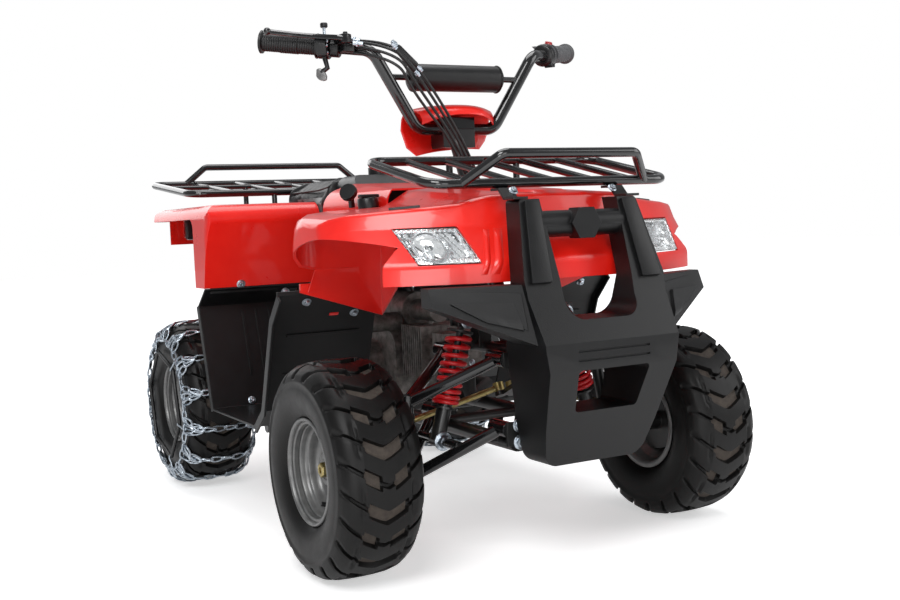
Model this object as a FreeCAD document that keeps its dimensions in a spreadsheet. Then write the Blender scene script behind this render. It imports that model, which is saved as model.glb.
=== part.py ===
import FreeCAD, Part
import Sketcher
import os
from math import atan2, cos, degrees, hypot, pi, radians, sin, tan
from types import SimpleNamespace

# A small utility quad bike. +Z is up, the front faces -Y and the rider's left is +X.
# The origin lies on the ground at mid wheelbase. Heights are above the ground,
# "ahead" and "behind" are measured from mid wheelbase, "half" from the middle plane.
sizes = {
    # wheels
    "wheelbase": 870, "front_half_track": 338, "rear_half_track": 313,
    "tyre_radius": 178, "tyre_width": 145, "lug_height": 12, "lug_width": 17, "bead_radius": 76,
    "rim_width": 122, "rim_wall": 3, "rim_lip": 9, "rim_drop": 13,
    "hub_radius": 29, "hub_length": 66, "wheel_bolt": 10, "wheel_bolt_circle": 74,
    "drum_radius": 54, "drum_depth": 30, "running_gap": 1.5,
    "chain_wire": 8, "chain_side_radius": 142, "chain_band": 9, "chain_side_gap": 4,
    # frame
    "frame_tube": 25, "brace_tube": 19, "peg_tube": 22, "frame_half": 92, "rail_half": 70, "cradle_half": 64,
    "frame_front_ahead": 582, "frame_low_height": 206, "frame_rear_behind": 262,
    "bulkhead_height": 352, "head_height": 590, "rail_height": 566, "rail_rear_behind": 584,
    "pivot_height": 262, "peg_half": 318, "peg_front_ahead": 20,
    "peg_rear_behind": 145, "bend_radius": 45, "bracket_plate": 4, "body_post_behind": 480,
    # steering
    "stem_tube": 28, "stem_top_ahead": 250, "stem_top_height": 742, "stem_end_drop": 20,
    "stem_foot_ahead": 461, "stem_foot_height": 286, "stem_sleeve": 42, "sleeve_length": 52, "pitman_arm": 62,
    "pitman_half": 13, "pitman_plate": 8, "kingpin_low_half": 232, "kingpin_low_height": 142,
    "kingpin_top_half": 218, "kingpin_top_height": 268, "ball_housing": 30, "kingpin": 14,
    "spindle": 17, "knuckle_web": 34, "rod_tube": 11, "rod_eye": 20, "rod_pin": 7,
    "rod_clear": 3, "rod_rise": 8, "rod_eye_half": 8, "web_gap": 5,
    # suspension
    "arm_tube": 20, "arm_centre_ahead": 448, "low_leg_half_spread": 118,
    "low_arm_inner_half": 110, "top_arm_inner_half": 95, "arm_bush": 26, "arm_bush_length": 48,
    "low_arm_inner_height": 232, "top_arm_inner_height": 342, "top_leg_half_spread": 92,
    "damper_tube": 26, "damper_rod": 12, "damper_eye": 24, "spring_wire": 8, "spring_outer": 46,
    "shock_top_half": 102, "shock_top_rise": 58,
    "shock_low_half": 160, "shock_low_height": 200, "shock_bolt": 16,
    "swing_half": 48, "swing_tube": 24, "axle_tube_radius": 27, "axle_radius": 12.5,
    "carrier_half": 60, "rear_shock_top_behind": 190, "rear_shock_top_height": 520,
    "rear_shock_low_behind": 348, "rear_shock_low_height": 238,
    "sprocket_radius": 68, "sprocket_plate": 6, "sprocket_half": 72, "brake_disc_radius": 66,
    "brake_disc_plate": 4, "drive_sprocket_radius": 26, "drive_behind": 112, "drive_height": 268,
    "drive_chain_width": 9, "drive_chain_depth": 9,
    # engine
    "case_length": 236, "case_width": 128, "case_height": 150, "case_behind": 30,
    "case_centre_height": 282, "case_corner": 34, "cover_radius": 52, "cover_depth": 34,
    "barrel_radius": 34, "barrel_length": 118, "barrel_height": 318, "fin_radius": 52,
    "fin_plate": 3.2, "fin_pitch": 9, "fin_count": 10, "head_block": 46, "starter_radius": 19,
    "starter_length": 96, "starter_ahead": 58, "starter_half": 40,
    "carb_radius": 21, "carb_length": 62, "filter_radius": 36, "filter_length": 96,
    "exhaust_tube": 26, "silencer_radius": 44, "silencer_length": 262, "silencer_half": 152,
    "silencer_height": 332,
    # bodywork
    "skin": 4, "body_half": 360, "hood_half": 160, "nose_ahead": 634, "nose_low_height": 473,
    "nose_top_height": 612, "nose_lean": 44, "lip_run": 24, "hood_rear_behind": 20,
    "hood_rear_height": 656, "fender_height": 600,
    "fender_rear_ahead": 232, "fender_corner_width": 318,
    "well_low_height": 455, "well_inner_height": 404, "arch_radius": 372,
    "body_round": 22, "rear_front_behind": 152, "rear_wall_lean": 48, "rear_top_height": 626,
    "rear_end_behind": 600, "rear_low_height": 452, "rear_tail_height": 543,
    "rear_inner_half": 168, "rear_lip": 24, "rear_arch_front": 262,
    "seat_half": 108, "seat_rear_behind": 376,
    "seat_top_height": 670, "seat_dip": 52, "seat_round": 26, "tank_half": 84,
    "tank_rear_behind": 118, "tank_top_height": 676,
    "cap_radius": 24, "cap_height": 16,
    # lamps
    "lamp_width": 106, "lamp_height": 58, "lamp_depth": 56, "lamp_low_height": 504,
    "lamp_inner_half": 168, "lamp_front_ahead": 640, "lamp_sweep": 68,
    "tail_width": 74, "tail_height": 38, "tail_depth": 26, "tail_half": 245, "tail_low": 560,
    # footwells
    "well_plate": 4, "floor_height": 196, "floor_front_ahead": 70, "floor_rear_behind": 190,
    "flap_knee_ahead": 186, "flap_knee_height": 404, "flap_low_ahead": 118,
    "flap_low_height": 232, "back_knee_behind": 254, "back_knee_height": 414,
    "footwell_inner_half": 150, "flange_depth": 26,
    # bumper
    "upright_half": 112, "upright_width": 44, "upright_depth": 40, "bumper_top_height": 600,
    "bumper_top_ahead": 647, "upright_foot_ahead": 688,
    "block_half": 126, "block_top_height": 476, "block_low_height": 372, "block_ahead": 730,
    "window_half": 66, "window_low_height": 412, "cross_height": 560,
    "cross_radius": 21, "boss_half": 28, "wing_half": 264, "wing_lamp_gap": 34,
    "wing_tip_ahead": 598, "wing_depth": 46, "skid_low_height": 180,
    "skid_ahead": 664, "skid_low_half": 92, "skid_depth": 60, "skid_window_half": 68,
    "skid_window_top": 336, "skid_window_low": 268, "bumper_wall": 7, "bumper_bevel": 15, "bumper_mount": 14,
    # racks
    "rack_tube": 16, "rack_bar": 12, "rack_bend": 34, "front_rack_half": 233,
    "front_rack_front": 586, "front_rack_rear": 354, "front_rack_low": 628,
    "front_rack_high": 678, "hoop_foot_half": 179, "hoop_top_half": 128, "hoop_ahead": 632,
    "hoop_height": 672, "front_rack_bars": 5, "rear_rack_half": 321, "rear_rack_front": 392,
    "rear_rack_rear": 722, "rear_rack_low": 656, "rear_rack_high": 692, "rear_hoop_foot": 236,
    "rear_hoop_top": 184, "rear_hoop_height": 734, "rear_rack_bars": 5, "rack_leg_half": 124,
    "rack_leg_rear": 592,
    "rack_strap": 26, "rack_strap_plate": 4, "rack_strap_half": 108,
    # handlebar and controls
    "bar_tube": 22, "bar_clamp_half": 81, "bar_rise_half": 98, "pad_rise": 94,
    "pad_radius": 27, "bend_half": 170, "bend_ahead": 267,
    "bend_rise": 140, "grip_inner_half": 239,
    "grip_outer_half": 334, "grip_outer_ahead": 144,
    "grip_outer_rise": 168, "grip_radius": 17, "clamp_block": 42, "bar_bend": 32,
    "pod_radius": 22, "pod_length": 36, "lever_length": 128, "lever_plate": 9,
    "lever_reach": 44, "lever_ball": 7, "perch_length": 34, "cable_radius": 2.6, "cable_start_half": 200,
    "cable_wide_half": 155, "cable_wide_rise": 151, "cable_knee_half": 98, "cable_knee_rise": 96,
    "cable_low_half": 12, "cable_ahead": 16,
    "shroud_half": 100, "shroud_drop": 38, "shroud_rise": 50,
    "shroud_ahead": 306, "shroud_rear_ahead": 214, "shroud_skin": 4, "shroud_round": 16,
    # fits
    "play": 0.3, "overrun": 6,
}

doc = FreeCAD.newDocument("quad_bike")
sheet = doc.addObject("Spreadsheet::Sheet", "sizes")
for row, (name, number) in enumerate(sizes.items(), start=1):
    sheet.set(f"A{row}", name)
    sheet.set(f"B{row}", str(number))
    sheet.setAlias(f"B{row}", name)
doc.recompute()
v = SimpleNamespace(**{name: float(sheet.get(name)) for name in sizes})

zero = FreeCAD.Vector(0, 0, 0)
along_x = FreeCAD.Vector(1, 0, 0)
along_y = FreeCAD.Vector(0, 1, 0)
along_z = FreeCAD.Vector(0, 0, 1)
nodes = []

# Where a rim's disc stands across its width, half an eye's length and the drop of the tray below a bolt
disc_share = 0.56
eye_share = 0.45
tray_share = 0.55

# Places that several pieces share
front_axle = FreeCAD.Vector(0, -v.wheelbase / 2, v.tyre_radius)
rear_axle = FreeCAD.Vector(0, v.wheelbase / 2, v.tyre_radius + v.chain_wire)
stem_top = FreeCAD.Vector(0, -v.stem_top_ahead, v.stem_top_height)
stem_foot = FreeCAD.Vector(0, -v.stem_foot_ahead, v.stem_foot_height)
stem_line = (stem_top - stem_foot).normalize()
bar_base = v.stem_top_height
shroud_low = bar_base - v.shroud_drop
shroud_top = bar_base + v.shroud_rise
shock_top = v.top_arm_inner_height + v.shock_top_rise
wing_top = v.lamp_low_height - v.wing_lamp_gap
peg_height = v.floor_height - v.peg_tube / 2 - v.play
seat_low_height = v.rail_height + v.brace_tube / 2 + v.play
seat_gap_half = v.seat_half + v.play


# Height of the hood's middle at a place ahead of mid wheelbase
def hood_height(ahead):
    rise = v.hood_rear_height - v.nose_top_height
    run = v.nose_ahead - v.nose_lean + v.hood_rear_behind
    return v.nose_top_height + rise * (v.nose_ahead - v.nose_lean - ahead) / run


# Adds one finished shape to the document as a node of its own
def node(label, shape):
    piece = doc.addObject("Part::Feature", label)
    piece.Label = label
    piece.Shape = shape
    piece.Placement = FreeCAD.Placement()
    nodes.append(piece)
    return piece


def point(half, ahead, height):
    return FreeCAD.Vector(half, -ahead, height)


def mirrored(shape):
    return shape.mirror(zero, along_x)


def both(shape):
    return Part.makeCompound([shape, mirrored(shape)])


def joined(shapes):
    whole = shapes[0].multiFuse(shapes[1:]) if len(shapes) > 1 else shapes[0]
    return whole.removeSplitter()


# A round bar between two points
def bar(start, end, radius):
    return Part.makeCylinder(radius, (end - start).Length, start, end - start)


# A round tube along straight runs that tangent arcs join
def tube(points, radius, bend):
    edges = []
    begin = points[0]
    for before, corner, after in zip(points, points[1:], points[2:]):
        back = (before - corner).normalize()
        on = (after - corner).normalize()
        half_turn = (pi - back.getAngle(on)) / 2
        cut = bend * tan(half_turn)
        start = corner + back * cut
        end = corner + on * cut
        middle = corner + (back + on).normalize() * (bend / cos(half_turn) - bend)
        edges.append(Part.LineSegment(begin, start).toShape())
        edges.append(Part.Arc(start, middle, end).toShape())
        begin = end
    edges.append(Part.LineSegment(begin, points[-1]).toShape())
    path = Part.Wire(edges)
    ring = Part.Wire([Part.makeCircle(radius, points[0], points[1] - points[0])])
    return path.makePipeShell([ring], True, False)


# A closed wire through corners. A corner with a third value is rounded to that radius.
def outline_wire(outline, place):
    edges = []
    count = len(outline)
    ends = []
    for i, corner in enumerate(outline):
        here = place(corner[0], corner[1])
        if len(corner) < 3:
            ends.append((here, here, None))
            continue
        before = place(*outline[i - 1][:2])
        after = place(*outline[(i + 1) % count][:2])
        back = (before - here).normalize()
        on = (after - here).normalize()
        half_turn = (pi - back.getAngle(on)) / 2
        cut = corner[2] * tan(half_turn)
        middle = here + (back + on).normalize() * (corner[2] / cos(half_turn) - corner[2])
        ends.append((here + back * cut, here + on * cut, middle))
    for i, (start, end, middle) in enumerate(ends):
        if middle is not None:
            edges.append(Part.Arc(start, middle, end).toShape())
        following = ends[(i + 1) % count][0]
        if (following - end).Length > v.play / 100:
            edges.append(Part.LineSegment(end, following).toShape())
    return Part.Wire(edges)


# A straight prism with a closed outline in the plane square to the named axis
def prism(outline, axis, start, end):
    places = {
        "x": lambda a, b: FreeCAD.Vector(start, a, b),
        "y": lambda a, b: FreeCAD.Vector(a, start, b),
        "z": lambda a, b: FreeCAD.Vector(a, b, start),
    }
    face = Part.Face(outline_wire(outline, places[axis]))
    way = {"x": along_x, "y": along_y, "z": along_z}[axis]
    return face.extrude(way * (end - start))


def mirrored_outline(half_outline):
    return list(half_outline) + [(-corner[0],) + tuple(corner[1:]) for corner in half_outline[::-1]]


# The closed outline of a sheet of even thickness that follows an open line of points
def strip(points, thickness):
    shifted = []
    for i, (a, b) in enumerate(points):
        ways = []
        for p, q in zip(points[max(i - 1, 0):i + 1], points[max(i - 1, 0) + 1:i + 2]):
            length = hypot(q[0] - p[0], q[1] - p[1])
            ways.append(((q[0] - p[0]) / length, (q[1] - p[1]) / length))
        normal = [(-way[1], way[0]) for way in ways]
        na = sum(n[0] for n in normal) / len(normal)
        nb = sum(n[1] for n in normal) / len(normal)
        square = na * na + nb * nb
        shifted.append((a + thickness * na / square, b + thickness * nb / square))
    return list(points) + shifted[::-1]


def slab(half_low, half_high, ahead_front, ahead_rear, low, high):
    return Part.makeBox(half_high - half_low, ahead_front - ahead_rear, high - low,
                        FreeCAD.Vector(half_low, -ahead_front, low))


# Fillets the edges that a test picks
def rounded(shape, radius, picked):
    return shape.makeFillet(radius, [edge for edge in shape.Edges if picked(edge)])


def runs_along(edge, way):
    if len(edge.Vertexes) < 2:
        return False
    line = edge.Vertexes[1].Point - edge.Vertexes[0].Point
    return line.Length > v.skin and abs(line.normalize().dot(way)) > cos(radians(12))


def worked_out(expression):
    return float(sheet.evalExpression(expression.replace("sizes.", "")))


# A sketched half profile, each corner placed by sheet expressions (radius, along the axis)
def turned_body(label, corners):
    body = doc.addObject("PartDesign::Body", label)
    body.Label = label
    plane = next(f for f in body.Origin.OriginFeatures if f.Role == "XZ_Plane")
    sketch = body.newObject("Sketcher::SketchObject", label + "_profile")
    sketch.AttachmentSupport = [(plane, "")]
    sketch.MapMode = "FlatFace"
    worth = [(worked_out(a), worked_out(b)) for a, b in corners]
    count = len(worth)
    for i in range(count):
        a, b = worth[i], worth[(i + 1) % count]
        sketch.addGeometry(Part.LineSegment(FreeCAD.Vector(a[0], a[1], 0), FreeCAD.Vector(b[0], b[1], 0)))
    for i in range(count):
        sketch.addConstraint(Sketcher.Constraint("Coincident", i, 2, (i + 1) % count, 1))
    for i, (across, along) in enumerate(corners):
        for kind, axis_line, expression in (("DistanceX", -2, across), ("DistanceY", -1, along)):
            if expression == "0":
                sketch.addConstraint(Sketcher.Constraint("PointOnObject", i, 1, axis_line))
            else:
                index = sketch.addConstraint(
                    Sketcher.Constraint(kind, -1, 1, i, 1, worked_out(expression)))
                sketch.setExpression(f"Constraints[{index}]", expression)
    turn = body.newObject("PartDesign::Revolution", label + "_turn")
    turn.Profile = sketch
    turn.ReferenceAxis = (sketch, ["V_Axis"])
    turn.Angle = 360
    body.Tip = turn
    return body


# Tyres: a carcass with flat facets, two to a pitch, and a pair of slanted lugs on each pitch
lug_pitches = 18
lug_slant = radians(24)
carcass_sides = 2 * lug_pitches
# Half sections as shares of half the width, and of the way from the bead out to the crown
carcass_width_shares = (0.79, 0.79, 0.95, 1.0, 0.86, 0.5)
carcass_depth_shares = (0.0, 0.1, 0.3, 0.55, 0.9, 1.0)
lug_length_shares = (0.04, 0.04, 0.86, 1.02, 1.0, 0.8)
lug_depth_shares = (0.84, 1.0, 1.0, 0.93, 0.77, 0.77)


def facet_ring(section, sides, centre):
    loops = []
    for k in range(sides):
        turn = 2 * pi * k / sides
        loops.append([centre + FreeCAD.Vector(x, r * cos(turn), r * sin(turn)) for x, r in section])
    faces = []
    count = len(section)
    for k in range(sides):
        here, there = loops[k], loops[(k + 1) % sides]
        for i in range(count):
            j = (i + 1) % count
            faces.append(Part.Face(Part.makePolygon([here[i], here[j], there[j], there[i], here[i]])))
    solid = Part.Solid(Part.makeShell(faces))
    if solid.Volume < 0:
        solid.reverse()
    return solid


def lug(centre, turn, side):
    out = FreeCAD.Vector(0, cos(turn), sin(turn))
    round_way = FreeCAD.Vector(0, -sin(turn), cos(turn))
    long_way = along_x * side * cos(lug_slant) - round_way * sin(lug_slant)
    wide_way = along_x * side * sin(lug_slant) + round_way * cos(lug_slant)
    half = v.tyre_width / 2
    corners = []
    for length_share, depth_share in zip(lug_length_shares, lug_depth_shares):
        length = half * length_share / cos(lug_slant)
        aside = length * sin(lug_slant) + v.lug_width / 2 * cos(lug_slant)
        radius = ((v.tyre_radius * depth_share) ** 2 - aside ** 2) ** 0.5
        corners.append(centre + long_way * length + out * radius - wide_way * v.lug_width / 2)
    return Part.Face(Part.makePolygon(corners + corners[:1])).extrude(wide_way * v.lug_width)


def tyre(label, centre):
    crown = v.tyre_radius - v.lug_height
    bead = v.bead_radius + v.play
    flat = 1 / cos(pi / carcass_sides)
    half_section = []
    for width_share, depth_share in zip(carcass_width_shares, carcass_depth_shares):
        radius = bead + (crown - bead) * depth_share
        half_section.append((v.tyre_width / 2 * width_share, radius * flat))
    section = half_section + [(-x, r) for x, r in half_section[::-1]]
    carcass = facet_ring(section, carcass_sides, centre)
    lugs = []
    pitch = 2 * pi / lug_pitches
    for k in range(lug_pitches):
        lugs.append(lug(centre, pitch * k, 1))
        lugs.append(lug(centre, pitch * (k + 1 / 2), -1))
    node(label, carcass.multiFuse(lugs).removeSplitter())


# Rims: one turned profile each, from the inner edge out. The front ones carry a drum and hub.
def rim_profile(front):
    bead, lip, wall = "sizes.bead_radius", "sizes.rim_lip", "sizes.rim_wall"
    width, drop = "sizes.rim_width", "sizes.rim_drop"
    seat = f"{bead}"
    low = f"{bead} - {drop}"
    bore = f"{bead} - {drop} - {wall}"
    disc = f"{width} * {disc_share}"
    back = f"{width} * {disc_share} - {wall} * 1.5"
    corners = [
        (f"{bead} + {lip}", "0"), (f"{bead} + {lip}", wall), (seat, wall), (seat, f"{width} * 0.25"),
        (low, f"{width} * 0.35"), (low, f"{width} * 0.6"), (seat, f"{width} * 0.72"),
        (seat, f"{width} - {wall}"), (f"{bead} + {lip}", f"{width} - {wall}"),
        (f"{bead} + {lip}", width), (f"{bead} - {wall}", width),
        (f"{bead} - {wall}", f"{width} * 0.72 + {wall}"), (bore, f"{width} * 0.6 + {wall}"),
        (bore, disc),
    ]
    hub, hole = "sizes.hub_radius", "sizes.spindle / 2 + sizes.play"
    if front:
        drum, depth = "sizes.drum_radius", "sizes.drum_depth"
        corners += [
            (hub, disc), (hub, f"{disc} + sizes.hub_length * 0.35"),
            (hole, f"{disc} + sizes.hub_length * 0.35"), (hole, f"{disc} - {depth}"),
            (hub, f"{disc} - {depth}"), (hub, back), (f"{drum} - {wall} * 2", back),
            (f"{drum} - {wall} * 2", f"{disc} - {depth}"), (drum, f"{disc} - {depth}"),
            (drum, back),
        ]
    else:
        hole = "sizes.axle_radius + sizes.wheel_bolt"
        corners += [(hole, disc), (hole, back)]
    corners += [
        (bore, back), (bore, f"{width} * 0.35 - {wall}"), (f"{bead} - {wall}", f"{width} * 0.25 - {wall}"),
        (f"{bead} - {wall}", "0"),
    ]
    return corners


def rim_body(label, side, front):
    body = turned_body(label, rim_profile(front))
    centre = front_axle if front else rear_axle
    track = "front_half_track" if front else "rear_half_track"
    turn = FreeCAD.Rotation(along_z, along_x * side)
    inner = (sizes[track] - sizes["rim_width"] / 2) * side
    body.Placement = FreeCAD.Placement(centre + along_x * inner, turn)
    return body


def front_rims():
    for name, side in (("right", -1), ("left", 1)):
        nodes.append(rim_body("front_rim_" + name, side, True))


def rear_rims():
    rims = [rim_body(f"rear_rim_turned_{name}", side, False) for name, side in (("right", -1), ("left", 1))]
    pair = doc.addObject("Part::Compound", "rear_rims")
    pair.Label = "rear_rims"
    pair.Links = rims
    nodes.append(pair)


# Rear axle with wheel flanges, chain sprocket and brake disc
def rear_axle_piece():
    disc_back = v.rim_width * disc_share - v.rim_wall * 1.5 - v.rim_width / 2
    flange = v.rear_half_track + disc_back
    end = flange + v.hub_length / 2
    pieces = [bar(rear_axle - along_x * end, rear_axle + along_x * end, v.axle_radius)]
    for side in (-1, 1):
        face = rear_axle + along_x * side * flange
        pieces.append(bar(face - along_x * side * v.wheel_bolt, face,
                          v.wheel_bolt_circle / 2 + v.wheel_bolt))
        pieces.append(bar(face - along_x * side * v.hub_length, face, v.hub_radius))
        nut = rear_axle + along_x * side * (end - v.wheel_bolt)
        pieces.append(bar(nut - along_x * side * v.wheel_bolt, nut, v.axle_radius + v.wheel_bolt / 2))
    start = rear_axle + along_x * (v.sprocket_half - v.sprocket_plate / 2)
    pieces.append(bar(start, start + along_x * v.sprocket_plate, v.sprocket_radius))
    start = rear_axle - along_x * (v.sprocket_half + v.brake_disc_plate / 2)
    pieces.append(bar(start, start + along_x * v.brake_disc_plate, v.brake_disc_radius))
    for side in (-1, 1):
        start = rear_axle + along_x * side * (v.carrier_half + v.running_gap)
        pieces.append(bar(start, start + along_x * side * v.hub_radius, v.hub_radius * 0.8))
    node("rear_axle", joined(pieces))


# Snow chains: two side chains joined by runs over the tread, one net of flat bands
chain_runs = 12


def snow_chain(label, centre):
    crown = v.tyre_radius + v.play
    thick = v.chain_wire - v.play
    half = v.tyre_width / 2 + v.chain_side_gap
    side_radius = v.chain_side_radius
    pieces = []
    section = [(half, side_radius), (half + v.chain_band, side_radius),
               (half + v.chain_band, side_radius + v.chain_band), (half, side_radius + v.chain_band)]
    for way in (-1, 1):
        pieces.append(facet_ring([(x * way, r) for x, r in section], 2 * chain_runs, centre))
    line = [(half + v.chain_band / 2, side_radius + v.chain_band / 2), (half * 0.96, crown * 0.96),
            (half * 0.8, crown)]
    line = line + [(-x, r) for x, r in line[::-1]]
    band = strip(line, -thick)
    for k in range(chain_runs):
        run = prism(band, "y", -v.chain_band / 2, v.chain_band / 2)
        run.rotate(zero, along_x, degrees(2 * pi * k / chain_runs))
        run.translate(centre)
        pieces.append(run)
    node(label, joined(pieces))


def wheels():
    for name, side in (("right", -1), ("left", 1)):
        tyre("front_tyre_" + name, front_axle + along_x * side * v.front_half_track)
        centre = rear_axle + along_x * side * v.rear_half_track
        tyre("rear_tyre_" + name, centre)
        snow_chain("snow_chain_" + name, centre)
    front_rims()
    rear_rims()
    rear_axle_piece()


# Knuckles: kingpin upright, spindle, drum backing plate and steering arm
def kingpin_line():
    low = FreeCAD.Vector(v.kingpin_low_half, front_axle.y, v.kingpin_low_height)
    top = FreeCAD.Vector(v.kingpin_top_half, front_axle.y, v.kingpin_top_height)
    return low, top, (top - low).normalize()


def rod_pin_place():
    low, top = kingpin_line()[:2]
    middle = low + (top - low) / 2
    return middle + FreeCAD.Vector(v.pitman_half, v.pitman_arm, v.rod_rise)


def knuckle(label, side):
    low, top, way = kingpin_line()
    reach = v.ball_housing / 2 + v.play * 2
    pieces = [bar(low - way * reach, top + way * reach, v.kingpin / 2)]
    pieces.append(bar(low + way * (reach + v.web_gap), top - way * reach, v.knuckle_web / 2))
    middle = FreeCAD.Vector((low.x + top.x) / 2, front_axle.y, front_axle.z)
    disc = v.front_half_track - v.rim_width / 2 + v.rim_width * disc_share
    spindle_end = FreeCAD.Vector(disc + v.hub_length * 0.3, front_axle.y, front_axle.z)
    pieces.append(bar(middle, spindle_end, v.spindle / 2))
    plate = FreeCAD.Vector(disc - v.drum_depth - v.running_gap, front_axle.y, front_axle.z)
    pieces.append(bar(plate - along_x * v.rim_wall, plate, v.drum_radius))
    pieces.append(bar(middle, plate - along_x * v.rim_wall / 2, v.spindle))
    pin = rod_pin_place()
    root = low + (top - low) / 2
    foot = pin - way * (v.pitman_plate / 2 + v.rod_eye_half + v.play)
    pieces.append(bar(root - way * v.pitman_plate, foot, v.pitman_plate / 2))
    pieces.append(bar(foot - way * v.pitman_plate / 2, foot + way * v.pitman_plate / 2, v.rod_eye / 2))
    pieces.append(bar(foot, pin + way * v.rod_eye_half * 1.4, v.rod_pin / 2))
    shape = joined(pieces)
    node(label, shape if side > 0 else mirrored(shape))


# Tie rods: the inner eye turns on the pitman plate, the outer eye stays loose round its pin
def pitman_pin_place():
    back = stem_line.cross(along_x).normalize()
    if back.y < 0:
        back = back * -1
    return stem_foot + back * v.pitman_arm + along_x * v.pitman_half


def tie_rod(label, side):
    way = kingpin_line()[2]
    inner = pitman_pin_place()
    outer = rod_pin_place()
    half_eye = v.rod_eye_half
    raise_inner = stem_line * (v.pitman_plate / 2 + half_eye + v.play)
    inner = inner + raise_inner
    pieces = [bar(inner, outer, v.rod_tube / 2)]
    pieces.append(bar(inner - stem_line * half_eye, inner + stem_line * half_eye, v.rod_eye / 2))
    pieces.append(bar(outer - way * half_eye, outer + way * half_eye, v.rod_eye / 2))
    shape = joined(pieces)
    long_hole = v.rod_eye
    shape = shape.cut(bar(inner - stem_line * long_hole, inner + stem_line * long_hole,
                          v.rod_pin / 2 + v.play))
    shape = shape.cut(bar(outer - way * long_hole, outer + way * long_hole, v.rod_pin / 2 + v.rod_clear))
    node(label, shape if side > 0 else mirrored(shape))


# Wishbones: two legs from inner bushes to a housing round the kingpin
def arm_inner(half, spread, height):
    front = FreeCAD.Vector(half, -v.arm_centre_ahead - spread, height)
    rear = FreeCAD.Vector(half, -v.arm_centre_ahead + spread, height)
    return front, rear


def wishbone(label, half, spread, height, ball, way, with_bolt):
    front, rear = arm_inner(half, spread, height)
    pieces = [bar(ball - way * v.ball_housing / 2, ball + way * v.ball_housing / 2, v.ball_housing / 2)]
    end = ball - way * (v.arm_tube / 4 if with_bolt else 0)
    for inner in (front, rear):
        begin = inner + (end - inner).normalize() * v.rod_pin
        pieces.append(bar(begin, end, v.arm_tube / 2))
        pieces.append(bar(inner - along_y * v.arm_bush_length / 2, inner + along_y * v.arm_bush_length / 2,
                          v.arm_bush / 2))
    if with_bolt:
        share = (v.shock_low_half - half) / (ball.x - half)
        cross = [inner + (ball - inner) * share for inner in (front, rear)]
        cross = [FreeCAD.Vector(c.x, c.y, v.shock_low_height) for c in cross]
        pieces.append(bar(cross[0], cross[1], v.shock_bolt / 2))
    shape = joined(pieces)
    shape = shape.cut(bar(ball - way * v.ball_housing, ball + way * v.ball_housing, v.kingpin / 2 + v.play))
    for inner in (front, rear):
        hole = along_y * v.arm_bush_length
        shape = shape.cut(bar(inner - hole, inner + hole, v.rod_pin / 2 + v.play))
    node(label, both(shape))


def arms():
    low, top, way = kingpin_line()
    wishbone("lower_arms", v.low_arm_inner_half, v.low_leg_half_spread, v.low_arm_inner_height, low, way,
             True)
    wishbone("upper_arms", v.top_arm_inner_half, v.top_leg_half_spread, v.top_arm_inner_height, top, way,
             False)


# Coil-over units: damper and spring between two eyes whose bolts run along a given way
def coil_over(low, top, bolt_way, bolt):
    line = (top - low).normalize()
    length = (top - low).Length
    eye_half = v.damper_eye * eye_share
    pieces = [bar(low, low + line * length * 0.55, v.damper_tube / 2), bar(low, top, v.damper_rod / 2)]
    cup = v.spring_wire / 2
    low_cup = low + line * length * 0.28
    top_cup = low + line * length * 0.9
    pieces.append(bar(low_cup - line * cup, low_cup, v.spring_outer / 2))
    pieces.append(bar(top_cup, top_cup + line * cup, v.spring_outer / 2))
    for eye in (low, top):
        pieces.append(bar(eye - bolt_way * eye_half, eye + bolt_way * eye_half, v.damper_eye / 2))
    damper = joined(pieces)
    for eye in (low, top):
        damper = damper.cut(bar(eye - bolt_way * v.damper_eye, eye + bolt_way * v.damper_eye,
                                bolt / 2 + v.play))
    return damper, spring(low_cup + line * v.play, top_cup - line * v.play)


# Turns of a coil, and straight steps in a turn
coil_turns = 7
coil_steps = 12


def spring(start, end):
    line = (end - start).normalize()
    aside = line.cross(along_y if abs(line.y) < 0.7 else along_x).normalize()
    other = line.cross(aside)
    wire = v.spring_wire / 2
    run = (end - start).Length - 2 * wire
    middle = v.spring_outer / 2 - wire
    rings = []
    count = coil_turns * coil_steps
    for k in range(count + 1):
        turn = 2 * pi * k / coil_steps
        out = aside * cos(turn) + other * sin(turn)
        centre = start + line * (wire + run * k / count) + out * middle
        ring = [centre + out * wire, centre + line * wire, centre - out * wire, centre - line * wire]
        rings.append(ring)
    faces = [Part.Face(Part.makePolygon(rings[0] + rings[0][:1])),
             Part.Face(Part.makePolygon(rings[-1] + rings[-1][:1]))]
    for here, there in zip(rings, rings[1:]):
        for i in range(len(here)):
            j = (i + 1) % len(here)
            faces.append(Part.Face(Part.makePolygon([here[i], here[j], there[j], here[i]])))
            faces.append(Part.Face(Part.makePolygon([here[i], there[j], there[i], here[i]])))
    solid = Part.Solid(Part.makeShell(faces))
    if solid.Volume < 0:
        solid.reverse()
    return solid


def suspension():
    low = FreeCAD.Vector(v.shock_low_half, front_axle.y, v.shock_low_height)
    top = FreeCAD.Vector(v.shock_top_half, front_axle.y, shock_top)
    damper, coil = coil_over(low, top, along_y, v.shock_bolt)
    rear_low = FreeCAD.Vector(0, v.rear_shock_low_behind, v.rear_shock_low_height)
    rear_top = FreeCAD.Vector(0, v.rear_shock_top_behind, v.rear_shock_top_height)
    rear_damper, rear_coil = coil_over(rear_low, rear_top, along_x, v.shock_bolt)
    node("dampers", Part.makeCompound([damper, mirrored(damper), rear_damper]))
    node("springs", Part.makeCompound([coil, mirrored(coil), rear_coil]))


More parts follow.
